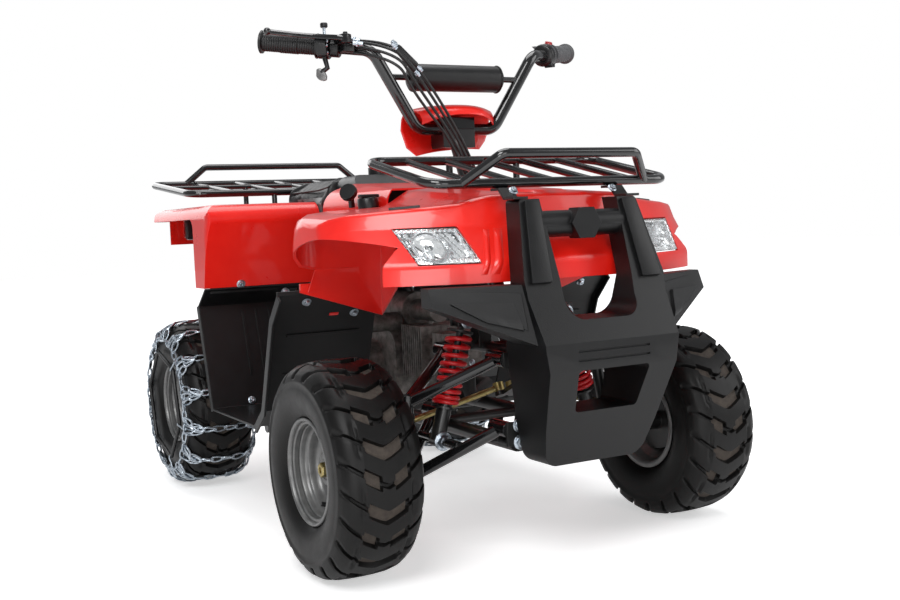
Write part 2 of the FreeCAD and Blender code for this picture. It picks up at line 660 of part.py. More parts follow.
def swingarm():
    pivot = FreeCAD.Vector(0, v.frame_rear_behind, v.pivot_height)
    pieces = []
    for side in (-1, 1):
        aside = along_x * side * v.swing_half
        pieces.append(bar(pivot + aside, rear_axle + aside, v.swing_tube / 2))
    sleeve = along_x * (v.swing_half + v.swing_tube / 2)
    pieces.append(bar(pivot - sleeve, pivot + sleeve, v.swing_tube / 2 + v.bracket_plate))
    carrier = along_x * v.carrier_half
    pieces.append(bar(rear_axle - carrier, rear_axle + carrier, v.axle_tube_radius))
    bolt = FreeCAD.Vector(0, v.rear_shock_low_behind, v.rear_shock_low_height)
    inside = along_x * (v.swing_half)
    pieces.append(bar(bolt - inside, bolt + inside, v.shock_bolt / 2))
    shape = joined(pieces)
    wide = along_x * (v.carrier_half + v.overrun)
    shape = shape.cut(bar(rear_axle - wide, rear_axle + wide, v.axle_radius + v.play))
    shape = shape.cut(bar(pivot - wide, pivot + wide, v.shock_bolt / 2 + v.play))
    node("swingarm", shape)


# Steering column with its pitman plate
def column():
    end = stem_foot + stem_line * ((v.stem_top_height - v.stem_end_drop - v.stem_foot_height) / stem_line.z)
    pieces = [bar(stem_foot, end, v.stem_tube / 2)]
    saddle = slab(-v.clamp_block * 0.8, v.clamp_block * 0.8, v.bend_ahead + v.skin,
                  v.stem_top_ahead - v.stem_tube,
                  end.z - v.stem_tube / 2, v.stem_top_height - v.play)
    pieces.append(saddle.cut(bar_tube_shape(v.play)))
    pin = pitman_pin_place()
    half_plate = stem_line * v.pitman_plate / 2
    pieces.append(bar(stem_foot - half_plate, stem_foot + half_plate, v.stem_tube / 2 + v.bracket_plate))
    middle = FreeCAD.Vector(0, pin.y, pin.z)
    for side in (-1, 1):
        place = middle + along_x * side * v.pitman_half
        pieces.append(bar(place - half_plate, place + half_plate, v.rod_eye / 2))
        pieces.append(bar(place, place + stem_line * (v.rod_eye_half * 3), v.rod_pin / 2))
    side_way = along_x * v.pitman_half
    corners = [stem_foot - side_way, stem_foot + side_way, middle + side_way, middle - side_way]
    corners = [c - half_plate for c in corners]
    pieces.append(Part.Face(Part.makePolygon(corners + corners[:1])).extrude(half_plate * 2))
    node("steering_column", joined(pieces))


# Frame: two lower loops, a front cradle, top rails, cross tubes, steering sleeves and peg bars
def frame():
    main, brace = v.frame_tube / 2, v.brace_tube / 2
    pieces = []
    front, rear, low = v.frame_front_ahead, v.frame_rear_behind, v.frame_low_height
    sleeve_place = stem_foot + stem_line * ((v.head_height - v.stem_foot_height) / stem_line.z)
    foot_place = stem_foot + stem_line * ((v.bulkhead_height - v.stem_foot_height) / stem_line.z)
    cradle_rear = v.arm_centre_ahead - v.low_leg_half_spread - v.arm_bush_length / 2
    for side in (-1, 1):
        half, cradle, rail = side * v.frame_half, side * v.cradle_half, side * v.rail_half
        pieces.append(tube([point(half, front, low), point(half, -rear, low),
                            point(half, -rear, v.rail_height)],
                           main, v.bend_radius))
        pieces.append(tube([point(half, front, low), point(cradle, front, v.bulkhead_height),
                            point(cradle, cradle_rear, v.bulkhead_height), point(half, cradle_rear, low)],
                           brace, v.bend_radius / 2))
        start = sleeve_place + along_x * side * v.stem_sleeve / 2
        pieces.append(bar(start, point(cradle, front, v.bulkhead_height), brace))
        start = start - along_z * v.stem_sleeve / 2
        pieces.append(tube([start, point(rail, v.stem_top_ahead / 2, v.rail_height),
                            point(rail, -v.rail_rear_behind, v.rail_height)], brace, v.bend_radius))
        pieces.append(bar(point(rail, -v.rail_rear_behind * 0.84, v.rail_height),
                          point(half, -rear, v.pivot_height), brace))
    for half, ahead, height, radius in (
            (v.frame_half, front, low, main), (v.cradle_half, front, v.bulkhead_height, brace),
            (v.frame_half, cradle_rear, low, brace), (v.frame_half, -rear, v.rail_height, brace),
            (v.rail_half, -v.rail_rear_behind, v.rail_height, brace),
            (v.rail_half, -v.rear_shock_top_behind, v.rail_height, brace)):
        pieces.append(bar(point(-half, ahead, height), point(half, ahead, height), radius))
    # cross tube and sleeve for the foot of the column, and the sleeve at its head
    ahead = -foot_place.y + v.stem_sleeve / 2 + brace / 2
    pieces.append(bar(point(-v.cradle_half, ahead, v.bulkhead_height),
                      point(v.cradle_half, ahead, v.bulkhead_height), brace))
    for place in (sleeve_place, foot_place):
        reach = stem_line * v.sleeve_length / 2
        pieces.append(bar(place - reach, place + reach, v.stem_sleeve / 2))
    # bolts and plates that carry the wishbones
    for half, spread, height, foot, plate_low in (
            (v.low_arm_inner_half, v.low_leg_half_spread, v.low_arm_inner_height, v.frame_half, low),
            (v.top_arm_inner_half, v.top_leg_half_spread, v.top_arm_inner_height, v.cradle_half,
             v.top_arm_inner_height - v.arm_bush / 2)):
        for inner in arm_inner(half, spread, height):
            reach = v.arm_bush_length / 2 + v.play
            for side in (-1, 1):
                bolt = FreeCAD.Vector(side * inner.x, inner.y, inner.z)
                ends = along_y * (reach + v.bracket_plate)
                pieces.append(bar(bolt - ends, bolt + ends, v.rod_pin / 2))
                low_x, high_x = sorted((side * foot, side * (inner.x + v.rod_pin)))
                for y_low in (inner.y - reach - v.bracket_plate, inner.y + reach):
                    pieces.append(Part.makeBox(high_x - low_x, v.bracket_plate,
                                               inner.z + v.arm_bush / 2 - plate_low,
                                               FreeCAD.Vector(low_x, y_low, plate_low)))
    # towers for the front shocks
    for side in (-1, 1):
        bolt = point(side * v.shock_top_half, -front_axle.y, shock_top)
        reach = v.damper_eye * eye_share + v.play
        ends = along_y * (reach + v.bracket_plate)
        pieces.append(bar(bolt - ends, bolt + ends, v.shock_bolt / 2))
        eye_low = shock_top - v.shock_bolt * tray_share
        high = shock_top + v.shock_bolt
        for way in (-1, 1):
            y_low = bolt.y + way * reach - (v.bracket_plate if way < 0 else 0)
            inboard = v.cradle_half - brace
            for outboard, low_end in ((v.cradle_half + v.shock_bolt * 0.9, v.bulkhead_height),
                                      (v.shock_top_half + v.shock_bolt, eye_low)):
                low_x, high_x = sorted((side * inboard, side * outboard))
                pieces.append(Part.makeBox(high_x - low_x, v.bracket_plate, high - low_end,
                                           FreeCAD.Vector(low_x, y_low, low_end)))
    # hanger for the rear shock
    reach = v.damper_eye * eye_share + v.play
    bolt = point(0, -v.rear_shock_top_behind, v.rear_shock_top_height)
    ends = along_x * (reach + v.bracket_plate)
    pieces.append(bar(bolt - ends, bolt + ends, v.shock_bolt / 2))
    for way in (-1, 1):
        x_low = way * reach - (v.bracket_plate if way < 0 else 0)
        plate_low = bolt.z - v.shock_bolt * tray_share
        pieces.append(Part.makeBox(v.bracket_plate, v.damper_eye * 2, v.rail_height - plate_low,
                                   FreeCAD.Vector(x_low, bolt.y - v.damper_eye, plate_low)))
    # cross tubes under the engine
    case_low = v.case_centre_height - v.case_height / 2
    for ahead in (v.case_length / 4, -v.case_length / 2):
        height = case_low - v.play - v.brace_tube / 2
        pieces.append(bar(point(-v.frame_half, ahead, height), point(v.frame_half, ahead, height),
                          v.brace_tube / 2))
    # posts under the rear body
    for side in (-1, 1):
        foot = point(side * v.rail_half, -v.body_post_behind, v.rail_height)
        head = v.rear_top_height - v.skin - v.play
        pieces.append(bar(foot, point(side * v.rail_half, -v.body_post_behind, head), brace))
    # pivot bolt of the swingarm and peg bars
    pivot = point(0, -rear, v.pivot_height)
    pieces.append(bar(pivot - along_x * v.frame_half, pivot + along_x * v.frame_half, v.shock_bolt / 2))
    for ahead in (v.peg_front_ahead, -v.peg_rear_behind):
        pieces.append(bar(point(-v.peg_half, ahead, peg_height), point(v.peg_half, ahead, peg_height),
                          v.peg_tube / 2))
    shape = joined(pieces)
    for place in (sleeve_place, foot_place):
        reach = stem_line * v.sleeve_length
        shape = shape.cut(bar(place - reach, place + reach, v.stem_tube / 2 + v.play))
    node("frame", shape)


# Engine: crankcase with side covers and starter, then the finned barrel lying forward
def engine():
    low = v.case_centre_height - v.case_height / 2
    half = v.case_width / 2
    front, rear = v.case_length / 2 - v.case_behind, v.case_length / 2 + v.case_behind
    case = slab(-half, half, front, -rear, low, low + v.case_height)
    case = rounded(case, v.case_corner, lambda e: runs_along(e, along_x))
    pieces = [case]
    centre = point(0, -v.case_behind * 0.5, v.case_centre_height)
    for side in (-1, 1):
        start = centre + along_x * side * half
        pieces.append(bar(start, start + along_x * side * v.cover_depth, v.cover_radius))
    starter = point(-v.starter_half, v.starter_ahead, low + v.case_height + v.starter_radius * 0.9)
    pieces.append(bar(starter, starter - along_x * v.starter_length, v.starter_radius))
    drive = point(v.sprocket_half - v.sprocket_plate / 2, -v.drive_behind, v.drive_height)
    pieces.append(bar(drive, drive + along_x * v.sprocket_plate, v.drive_sprocket_radius))
    pieces.append(bar(drive - along_x * v.sprocket_half / 2, drive, v.axle_radius))
    node("engine_case", joined(pieces))

    barrel = point(0, front, v.barrel_height)
    pieces = [bar(barrel, barrel - along_y * v.barrel_length, v.barrel_radius)]
    for k in range(int(v.fin_count)):
        ahead = front + v.fin_pitch * (k + 1)
        pieces.append(slab(-v.fin_radius, v.fin_radius, ahead + v.fin_plate / 2, ahead - v.fin_plate / 2,
                           v.barrel_height - v.fin_radius, v.barrel_height + v.fin_radius))
    head = front + v.barrel_length
    reach = v.head_block * 0.9
    pieces.append(slab(-reach, reach, head + v.head_block, head, v.barrel_height - reach,
                       v.barrel_height + reach))
    node("engine_barrel", joined(pieces))

    inlet = point(0, v.starter_ahead * 2.3, v.barrel_height + v.fin_radius)
    carb = inlet + FreeCAD.Vector(0, 0, v.carb_radius + v.skin)
    pieces = [bar(carb - along_y * v.carb_length / 2, carb + along_y * v.carb_length, v.carb_radius)]
    pieces.append(bar(inlet, carb, v.carb_radius / 2))
    box = carb + along_y * (v.carb_length)
    pieces.append(bar(box, box + along_y * v.filter_length, v.filter_radius))
    node("carburettor", joined(pieces))

    out = v.exhaust_tube / 2
    start = point(v.head_block / 2, head + v.head_block / 2, v.barrel_height - reach)
    lane = v.frame_half + v.frame_tube / 2 + out + v.skin
    route = [start, start - along_z * v.head_block * 1.1,
             point(lane, front + v.head_block, v.low_arm_inner_height + v.skin),
             point(lane, -v.rear_front_behind, v.low_arm_inner_height + v.skin),
             point(v.silencer_half, -v.frame_rear_behind - v.silencer_radius, v.silencer_height),
             point(v.silencer_half, -v.frame_rear_behind - v.silencer_radius * 2.2, v.silencer_height)]
    pieces = [tube(route, out, v.exhaust_tube)]
    end = route[-1]
    pieces.append(bar(end - along_y * v.skin, end + along_y * v.silencer_length, v.silencer_radius))
    pieces.append(bar(end + along_y * v.silencer_length,
                      end + along_y * (v.silencer_length + v.exhaust_tube), out))
    node("exhaust", joined(pieces))

    node("drive_chain", chain_loop(v.play + v.drive_chain_depth).cut(chain_loop(v.play)))


# Everything inside a belt of even distance round both sprockets
def chain_loop(extra):
    drive = (v.drive_behind, v.drive_height)
    axle = (rear_axle.y, rear_axle.z)
    gap = hypot(axle[0] - drive[0], axle[1] - drive[1])
    tilt = atan2(axle[1] - drive[1], axle[0] - drive[0])
    small, big = v.drive_sprocket_radius + extra, v.sprocket_radius + extra
    lean = pi / 2 + (big - small) / gap
    outline = []
    for centre, radius, begin, finish, count in ((drive, small, tilt + lean, tilt + 2 * pi - lean, 6),
                                                 (axle, big, tilt - lean, tilt + lean, 12)):
        step = (finish - begin) / count
        radius = radius / cos(step / 2)
        for k in range(count + 1):
            outline.append((centre[0] + radius * cos(begin + step * k),
                            centre[1] + radius * sin(begin + step * k)))
    start = v.sprocket_half - v.drive_chain_width / 2
    return prism(outline, "x", start, start + v.drive_chain_width)


# Front body: hood and two fenders as one open skin, with the walls of the wheel wells.
# Its stations run from the middle plane to the outer edge. Their shares are of the body's half width,
# of the lamp's sweep for the nose, of the fender's corner for the rear, and of the hood's height over
# the fender for the front and the rear of the top.
station_half_shares = (0, 0.2, 0.34, 0.41, 0.48, 0.62, 0.78, 0.9, 0.96, 0.99, 1)
station_sweep_shares = (0, 0.02, 0.06, 0.1, 0.16, 0.5, 1.0, 1.5, 1.9, 2.15, 2.3)
station_corner_shares = (0, 0, 0, 0, 0, 0, 0, 0.16, 0.5, 0.8, 1)
station_front_shares = (1, 0.96, 0.8, 0.4, -0.1, -0.5, -0.8, -1.1, -1.6, -2.2, -2.9)
station_rear_shares = (1, 0.98, 0.88, 0.45, 0.06, 0, -0.04, -0.16, -0.32, -0.5, -0.7)
corner_facets = 3


# An outline with each rounded corner cut into a few flats
def flats(outline):
    made = []
    count = len(outline)
    for i, corner in enumerate(outline):
        if len(corner) < 3:
            made.append(corner)
            continue
        before, after = outline[i - 1], outline[(i + 1) % count]
        back_way = atan2(before[1] - corner[1], before[0] - corner[0])
        on_way = atan2(after[1] - corner[1], after[0] - corner[0])
        turn = (on_way - back_way + pi) % (2 * pi) - pi
        reach = corner[2] / abs(tan(turn / 2))
        middle = back_way + turn / 2
        centre = corner[2] / abs(sin(turn / 2))
        cx, cy = corner[0] + centre * cos(middle), corner[1] + centre * sin(middle)
        start = atan2(corner[1] + reach * sin(back_way) - cy, corner[0] + reach * cos(back_way) - cx)
        end = atan2(corner[1] + reach * sin(on_way) - cy, corner[0] + reach * cos(on_way) - cx)
        sweep = (end - start + pi) % (2 * pi) - pi
        for k in range(corner_facets + 1):
            angle = start + sweep * k / corner_facets
            made.append((cx + corner[2] * cos(angle), cy + corner[2] * sin(angle)))
    return made


def body_station(k, side, inset):
    low = v.well_low_height - (v.overrun if inset else 0)
    half = side * (v.body_half - inset) * station_half_shares[k]
    nose = v.nose_ahead - inset - v.lamp_sweep * station_sweep_shares[k]
    corner = (v.body_half - v.fender_corner_width) * 2
    rear = v.fender_rear_ahead + inset + corner * station_corner_shares[k]
    front_rise = v.nose_top_height - v.fender_height
    rear_rise = hood_height(v.fender_rear_ahead) - v.fender_height
    front_top = v.fender_height + front_rise * station_front_shares[k] - inset
    rear_top = v.fender_height + rear_rise * station_rear_shares[k] - inset
    curve = max(v.body_round - inset, v.skin)
    lamp_top = min(v.lamp_low_height + v.lamp_height, front_top - curve)
    corners = [(-nose, low), (-nose, v.lamp_low_height - inset, curve),
               (-nose + v.nose_lean, lamp_top - inset, curve),
               (-nose + v.nose_lean * 1.3, front_top, curve / 2),
               (-rear - v.nose_lean * 0.4, rear_top, curve * 2), (-rear, low)]
    corners = [FreeCAD.Vector(half, a, b) for a, b in flats(corners)]
    return Part.makePolygon(corners + corners[:1])


def front_volume(inset):
    count = len(station_half_shares)
    stations = [body_station(k, -1, inset) for k in range(count - 1, 0, -1)]
    stations += [body_station(k, 1, inset) for k in range(count)]
    wide = Part.makeLoft(stations, True, True)
    below = v.overrun if inset else 0
    curve = max(v.body_round - inset, v.skin)
    low, rear = v.nose_low_height - below, v.hood_rear_behind + below
    start = -v.fender_rear_ahead - v.nose_lean
    side = [(start, low), (start, hood_height(-start) - inset), (rear, v.hood_rear_height - inset),
            (rear, low)]
    hood = prism(side, "x", -v.hood_half, v.hood_half)
    front = [(v.hood_half - inset, low),
             (v.hood_half - inset, v.hood_rear_height - v.body_round, curve * 2),
             (v.hood_half * 0.6 - inset, v.hood_rear_height - inset, curve)]
    hood = hood.common(prism(mirrored_outline(front), "y", start - v.overrun, rear + v.overrun))
    return hood.fuse(wide)


def front_body():
    shell = front_volume(0).cut(front_volume(v.skin))
    low = v.well_low_height - v.overrun
    # the arches open the outer walls, and the lip in front hangs a little lower than the arch
    arch = bar(front_axle - along_x * (v.body_half + v.overrun),
               front_axle + along_x * (v.body_half + v.overrun),
               v.arch_radius)
    for side in (-1, 1):
        low_x, high_x = sorted((side * (v.hood_half + v.body_round * 2), side * (v.body_half + v.overrun)))
        keep = slab(low_x, high_x, v.lamp_front_ahead - v.lamp_sweep - v.lip_run,
                    v.fender_rear_ahead + v.skin * 2, low, v.fender_height)
        shell = shell.cut(arch.common(keep))
    shell = shell.cut(slab(-v.body_half - v.overrun, v.body_half + v.overrun, v.nose_ahead + v.overrun,
                           v.lamp_front_ahead - v.lamp_sweep * 2, low, v.nose_low_height))
    # inner walls of the wells and their rear walls
    pieces = [shell]
    for side in (-1, 1):
        low_x, high_x = sorted((side * (v.hood_half - v.skin), side * v.hood_half))
        pieces.append(prism([(-v.fender_rear_ahead - v.lamp_sweep, v.well_low_height),
                             (-v.fender_rear_ahead, v.well_inner_height),
                             (-v.fender_rear_ahead, v.fender_height - v.nose_lean),
                             (-v.fender_rear_ahead - v.lamp_sweep, v.fender_height - v.skin)],
                            "x", low_x, high_x))
        wall = [(side * v.hood_half, v.well_inner_height),
                (side * v.fender_corner_width, v.well_low_height),
                (side * v.fender_corner_width, v.well_low_height + v.skin * 4),
                (side * v.hood_half, v.well_low_height + v.skin * 4)]
        pieces.append(prism(wall, "y", -v.fender_rear_ahead - v.skin * 1.6, -v.fender_rear_ahead))
    shape = joined(pieces)
    # lamp openings, and the slot for the column and its leads
    for side in (-1, 1):
        shape = shape.cut(lamp_outline(side, v.play))
    slot = slab(-v.shroud_half * 0.6, v.shroud_half * 0.6, v.stem_top_ahead + v.nose_lean * 2.2,
                v.stem_top_ahead - v.nose_lean,
                v.nose_top_height, v.hood_rear_height + v.overrun)
    node("front_body", shape.cut(slot))


# Headlamps: the part of the body's own form that shows through the lamp's outline, flush with the skin
def lamp_outline(side, grow):
    inner, outer = v.lamp_inner_half - grow, v.lamp_inner_half + v.lamp_width + grow
    low, high = v.lamp_low_height - grow, v.lamp_low_height + v.lamp_height + grow
    lean = v.lamp_height * 0.26
    face = [(side * inner, low), (side * (outer - lean * 1.2), low), (side * outer, high),
            (side * (inner + lean), high)]
    return prism(face, "y", -v.nose_ahead - v.overrun, -v.lamp_front_ahead + v.lamp_sweep + v.lamp_depth)


def lamps():
    core = front_volume(v.lamp_depth * 0.7)
    heads = []
    for side in (-1, 1):
        block = lamp_outline(side, 0).common(front_volume(0)).cut(core)
        heads.append(max(block.Solids, key=lambda solid: solid.Volume))
    node("headlights", Part.makeCompound(heads))
    tails = []
    for side in (-1, 1):
        low_x = side * v.tail_half - v.tail_width / 2
        tails.append(slab(low_x, low_x + v.tail_width, -v.rear_end_behind + v.tail_depth + v.skin,
                          -v.rear_end_behind - v.skin, v.tail_low, v.tail_low + v.tail_height))
    node("tail_lamps", Part.makeCompound(tails))


# Rear body: fenders with a front wall, a side arch and a tail, open in the middle for the seat
def rear_volume(inset):
    out, top = v.body_half - inset, v.rear_top_height - inset
    low = v.rear_low_height - (v.overrun if inset else 0)
    front, end = v.rear_front_behind + inset, v.rear_end_behind - inset
    curve = v.body_round * 1.5 - inset
    side = [(front + v.rear_wall_lean, low), (front, top, curve), (end, top, curve), (end, low)]
    block = prism(side, "x", -out, out)
    plan = [(out, front, curve), (out, end, curve)]
    block = block.common(prism(mirrored_outline(plan), "z", low - v.overrun, top + v.overrun))
    front = [(out, low), (out, top, curve)]
    return block.common(prism(mirrored_outline(front), "y", 0, end + v.overrun))


def rear_body():
    shell = rear_volume(0).cut(rear_volume(v.skin))
    arch_top = v.rear_top_height - v.rear_lip - v.skin
    for side in (-1, 1):
        low_x, high_x = sorted((side * (v.body_half - v.body_round * 2), side * (v.body_half + v.overrun)))
        arch = slab(low_x, high_x, -v.rear_arch_front, -v.rear_end_behind - v.overrun,
                    v.rear_low_height - v.overrun * 2, arch_top)
        arch = rounded(arch, v.body_round,
                       lambda e: runs_along(e, along_x) and e.CenterOfMass.z > v.rear_tail_height
                       and e.CenterOfMass.y < v.rear_end_behind)
        shell = shell.cut(arch)
    tail = slab(-v.body_half, v.body_half, -v.rear_arch_front, -v.rear_end_behind - v.overrun,
                v.rear_low_height - v.overrun * 2, v.rear_tail_height)
    shell = shell.cut(tail)
    gap = slab(-seat_gap_half, seat_gap_half, 0, -v.seat_rear_behind - v.play,
               v.rear_low_height - v.overrun * 2, v.rear_top_height + v.overrun)
    shell = shell.cut(gap)
    pieces = [shell]
    for side in (-1, 1):
        low_x, high_x = sorted((side * v.rear_inner_half, side * (v.rear_inner_half + v.skin)))
        pieces.append(slab(low_x, high_x, -v.rear_front_behind - v.rear_wall_lean,
                           -v.rear_end_behind + v.skin / 2,
                           v.rear_tail_height, v.rear_top_height - v.skin / 2))
    shape = joined(pieces)
    for side in (-1, 1):
        low_x = side * v.tail_half - v.tail_width / 2 - v.play
        shape = shape.cut(slab(low_x, low_x + v.tail_width + 2 * v.play,
                               -v.rear_end_behind + v.tail_depth + v.skin,
                               -v.rear_end_behind - v.overrun, v.tail_low - v.play,
                               v.tail_low + v.tail_height + v.play))
    node("rear_body", shape)


# Seat and the cover of the tank in front of it
def seat():
    half, low, high = v.seat_half, seat_low_height, v.seat_top_height
    rear = v.seat_rear_behind
    side = [(v.tank_rear_behind + v.play, low), (v.tank_rear_behind + v.play, v.tank_top_height),
            (v.tank_rear_behind + v.seat_dip, high), (rear, high), (rear, low)]
    pad = prism(side, "x", -half, half)
    pad = rounded(pad, v.seat_round,
                  lambda e: e.CenterOfMass.z > low + v.seat_round and runs_along(e, along_y))
    node("seat", pad)

    rear, high = v.tank_rear_behind, v.tank_top_height
    side = [(v.hood_rear_behind + v.play, low), (v.hood_rear_behind + v.play, v.hood_rear_height),
            (v.hood_rear_behind + (rear - v.hood_rear_behind) / 3, high),
            (rear, high), (rear, low)]
    cover = prism(side, "x", -v.tank_half, v.tank_half)
    cover = rounded(cover, v.seat_round,
                    lambda e: e.CenterOfMass.z > high - v.skin and runs_along(e, along_y))
    cap = point(0, -(v.hood_rear_behind + rear) / 2 - v.cap_radius / 2, high)
    shape = joined([cover, bar(cap - along_z * v.skin, cap + along_z * v.cap_height, v.cap_radius)])
    node("tank_cover", shape)


# Footwells: one sheet each side that runs down the front flap, along the floor and up the back
def footwells():
    plate = v.well_plate
    line = [(-v.fender_rear_ahead + v.play, v.well_low_height + v.skin),
            (-v.fender_rear_ahead + v.play, v.well_low_height - v.skin),
            (-v.flap_knee_ahead, v.flap_knee_height), (-v.flap_low_ahead, v.flap_low_height),
            (-v.floor_front_ahead, v.floor_height), (v.floor_rear_behind, v.floor_height),
            (v.back_knee_behind, v.back_knee_height),
            (v.rear_front_behind + v.rear_wall_lean + v.play, v.rear_low_height)]
    sheet_line = strip(line, plate)
    shapes = []
    well = prism(sheet_line, "x", v.footwell_inner_half, v.body_half)
    shapes.append(well)
    rim = v.flange_depth / 2
    edge = strip(line[1:5], -rim)
    shapes.append(prism(edge, "x", v.body_half - plate, v.body_half))
    edge = strip(line[5:7], -rim)
    shapes.append(prism(edge, "x", v.body_half - plate, v.body_half))
    node("footwells", both(joined(shapes)))


# Front bumper: block with wings, two uprights with a cross bar, and a skid below. The raised panel on
# each wing takes these shares of the wing's height and of its run from the block to the tip.
panel_height_shares = (0.22, 0.86)
panel_run_shares = (0.16, 0.9)
panel_inset_share = 0.12


def bumper_side():
    foot, block, low = v.upright_foot_ahead, v.block_ahead, v.skid_low_height
    return [(-v.skid_ahead, low), (-block, v.skid_window_top), (-block, v.block_low_height + v.bumper_wall),
            (-foot - v.bumper_wall, v.block_top_height - v.skid_depth / 2), (-foot, v.block_top_height),
            (-v.bumper_top_ahead, v.bumper_top_height),
            (-v.bumper_top_ahead + v.upright_depth, v.bumper_top_height),
            (-foot + v.upright_depth, v.block_top_height),
            (-v.skid_ahead + v.skid_depth * 0.8, v.block_low_height),
            (-v.skid_ahead + v.skid_depth, low + v.skid_depth / 3), (-v.skid_ahead + v.skid_depth, low)]


# A wing's section near the block and at its tip, set forward by a step and kept to a band of its height
def wing_sections(step, low_share, high_share):
    foot, top = v.upright_foot_ahead, wing_top
    root_low = (-v.block_ahead + v.bumper_wall * 2, v.block_low_height)
    tip_low = (-v.wing_tip_ahead - v.wing_depth * 0.8, top - v.skid_depth / 2)
    sections = []
    for front_low, front_high, back in ((root_low, (-foot, top), -foot + v.wing_depth),
                                        (tip_low, (-v.wing_tip_ahead - v.wing_depth / 2, top),
                                         -v.wing_tip_ahead)):
        band = []
        for share in (low_share, high_share):
            band.append([lo + (hi - lo) * share for lo, hi in zip(front_low, front_high)])
        sections.append([(band[0][0] - step, band[0][1]), (band[1][0] - step, band[1][1]),
                         (back, band[1][1]), (back, band[0][1])])
    return sections


def wing(way, sections, start, end):
    wires = []
    for x, outline in zip((start, end), sections):
        corners = [FreeCAD.Vector(way * x, y, z) for y, z in outline]
        wires.append(Part.makePolygon(corners + corners[:1]))
    return Part.makeLoft(wires, True, True)


def bumper():
    body = prism(bumper_side(), "x", -v.block_half * 1.2, v.block_half * 1.2)
    outer = [(v.skid_low_half, v.skid_low_height, v.boss_half),
             (v.skid_low_half * 1.15, v.skid_low_height + v.skid_depth),
             (v.block_half, v.block_low_height), (v.block_half * 1.06, v.block_top_height),
             (v.upright_half, v.bumper_top_height, v.bumper_wall)]
    body = body.common(prism(mirrored_outline(outer), "y", -v.block_ahead - v.overrun, 0))
    # long bevels down the front corners
    bevel = v.bumper_bevel
    for way in (-1, 1):
        wires = []
        for y, z, half in ((-v.upright_foot_ahead, v.block_top_height, v.block_half * 1.06),
                           (-v.bumper_top_ahead, v.bumper_top_height, v.upright_half)):
            corners = [FreeCAD.Vector(way * (half - bevel), y - v.play, z),
                       FreeCAD.Vector(way * half, y + bevel, z),
                       FreeCAD.Vector(way * (half + bevel), y + bevel, z),
                       FreeCAD.Vector(way * (half + bevel), y - bevel, z),
                       FreeCAD.Vector(way * (half - bevel), y - bevel, z)]
            wires.append(Part.makePolygon(corners + corners[:1]))
        body = body.cut(Part.makeLoft(wires, True, True))
    inner = v.upright_half - v.upright_width
    window = [(v.window_half, v.window_low_height, v.boss_half),
              (inner + v.bumper_wall, v.bumper_top_height + v.overrun)]
    body = body.cut(prism(mirrored_outline(window), "y", -v.block_ahead - v.overrun, 0))
    low = [(v.skid_window_half * 0.86, v.skid_window_low, v.bumper_wall),
           (v.skid_window_half, v.skid_window_top, v.bumper_wall)]
    body = body.cut(prism(mirrored_outline(low), "y", -v.block_ahead - v.overrun, 0))
    # grooves across the block above the lower window
    for k in range(2):
        height = v.skid_window_top + v.bumper_wall * (2 + 2 * k)
        body = body.cut(slab(-v.skid_window_half, v.skid_window_half, v.block_ahead + v.overrun,
                             v.block_ahead - v.running_gap * 2, height, height + v.bumper_wall / 2))
    pieces = [body]
    run = v.upright_foot_ahead - v.bumper_top_ahead
    lean = run * (v.bumper_top_height - v.cross_height) / (v.bumper_top_height - v.block_top_height)
    cross = point(0, v.bumper_top_ahead + lean - v.upright_depth / 2, v.cross_height)
    reach = along_x * (v.upright_half - v.upright_width / 2)
    pieces.append(bar(cross - reach, cross + reach, v.cross_radius))
    hexagon = [(v.boss_half * cos(pi * k / 3), v.cross_height + v.boss_half * sin(pi * k / 3))
               for k in range(6)]
    pieces.append(prism(hexagon, "y", cross.y - v.cross_radius - v.bumper_wall, cross.y))
    for way in (-1, 1):
        for half, height, radius in ((v.cradle_half, v.block_low_height - v.bumper_mount, v.brace_tube / 2),
                                     (v.frame_half - v.bumper_mount, v.frame_low_height, v.frame_tube / 2)):
            back = point(way * half, v.frame_front_ahead + radius + v.play, height)
            front = back - along_y * (v.skid_ahead - v.frame_front_ahead - radius)
            pieces.append(bar(back, front, v.bumper_mount / 2))
        start, end = v.block_half * 0.9, v.wing_half
        pieces.append(wing(way, wing_sections(0, 0, 1), start, end))
        # raised panel on the wing's face
        root, tip = wing_sections(v.bumper_wall / 2, *panel_height_shares)
        panel = [[[a + (b - a) * share for a, b in zip(inner_place, outer_place)]
                  for inner_place, outer_place in zip(root, tip)] for share in panel_run_shares]
        near, far = (start + (end - start) * share for share in panel_run_shares)
        pieces.append(wing(way, panel, near, far - (end - start) * panel_inset_share / 2))
    node("front_bumper", joined(pieces))


# Racks: a closed loop of tube, a hoop at one end, bars across, and legs
def closed_loop(corners, radius, bend):
    start = (corners[0] + corners[-1]) / 2
    return tube([start] + corners + [start], radius, bend)


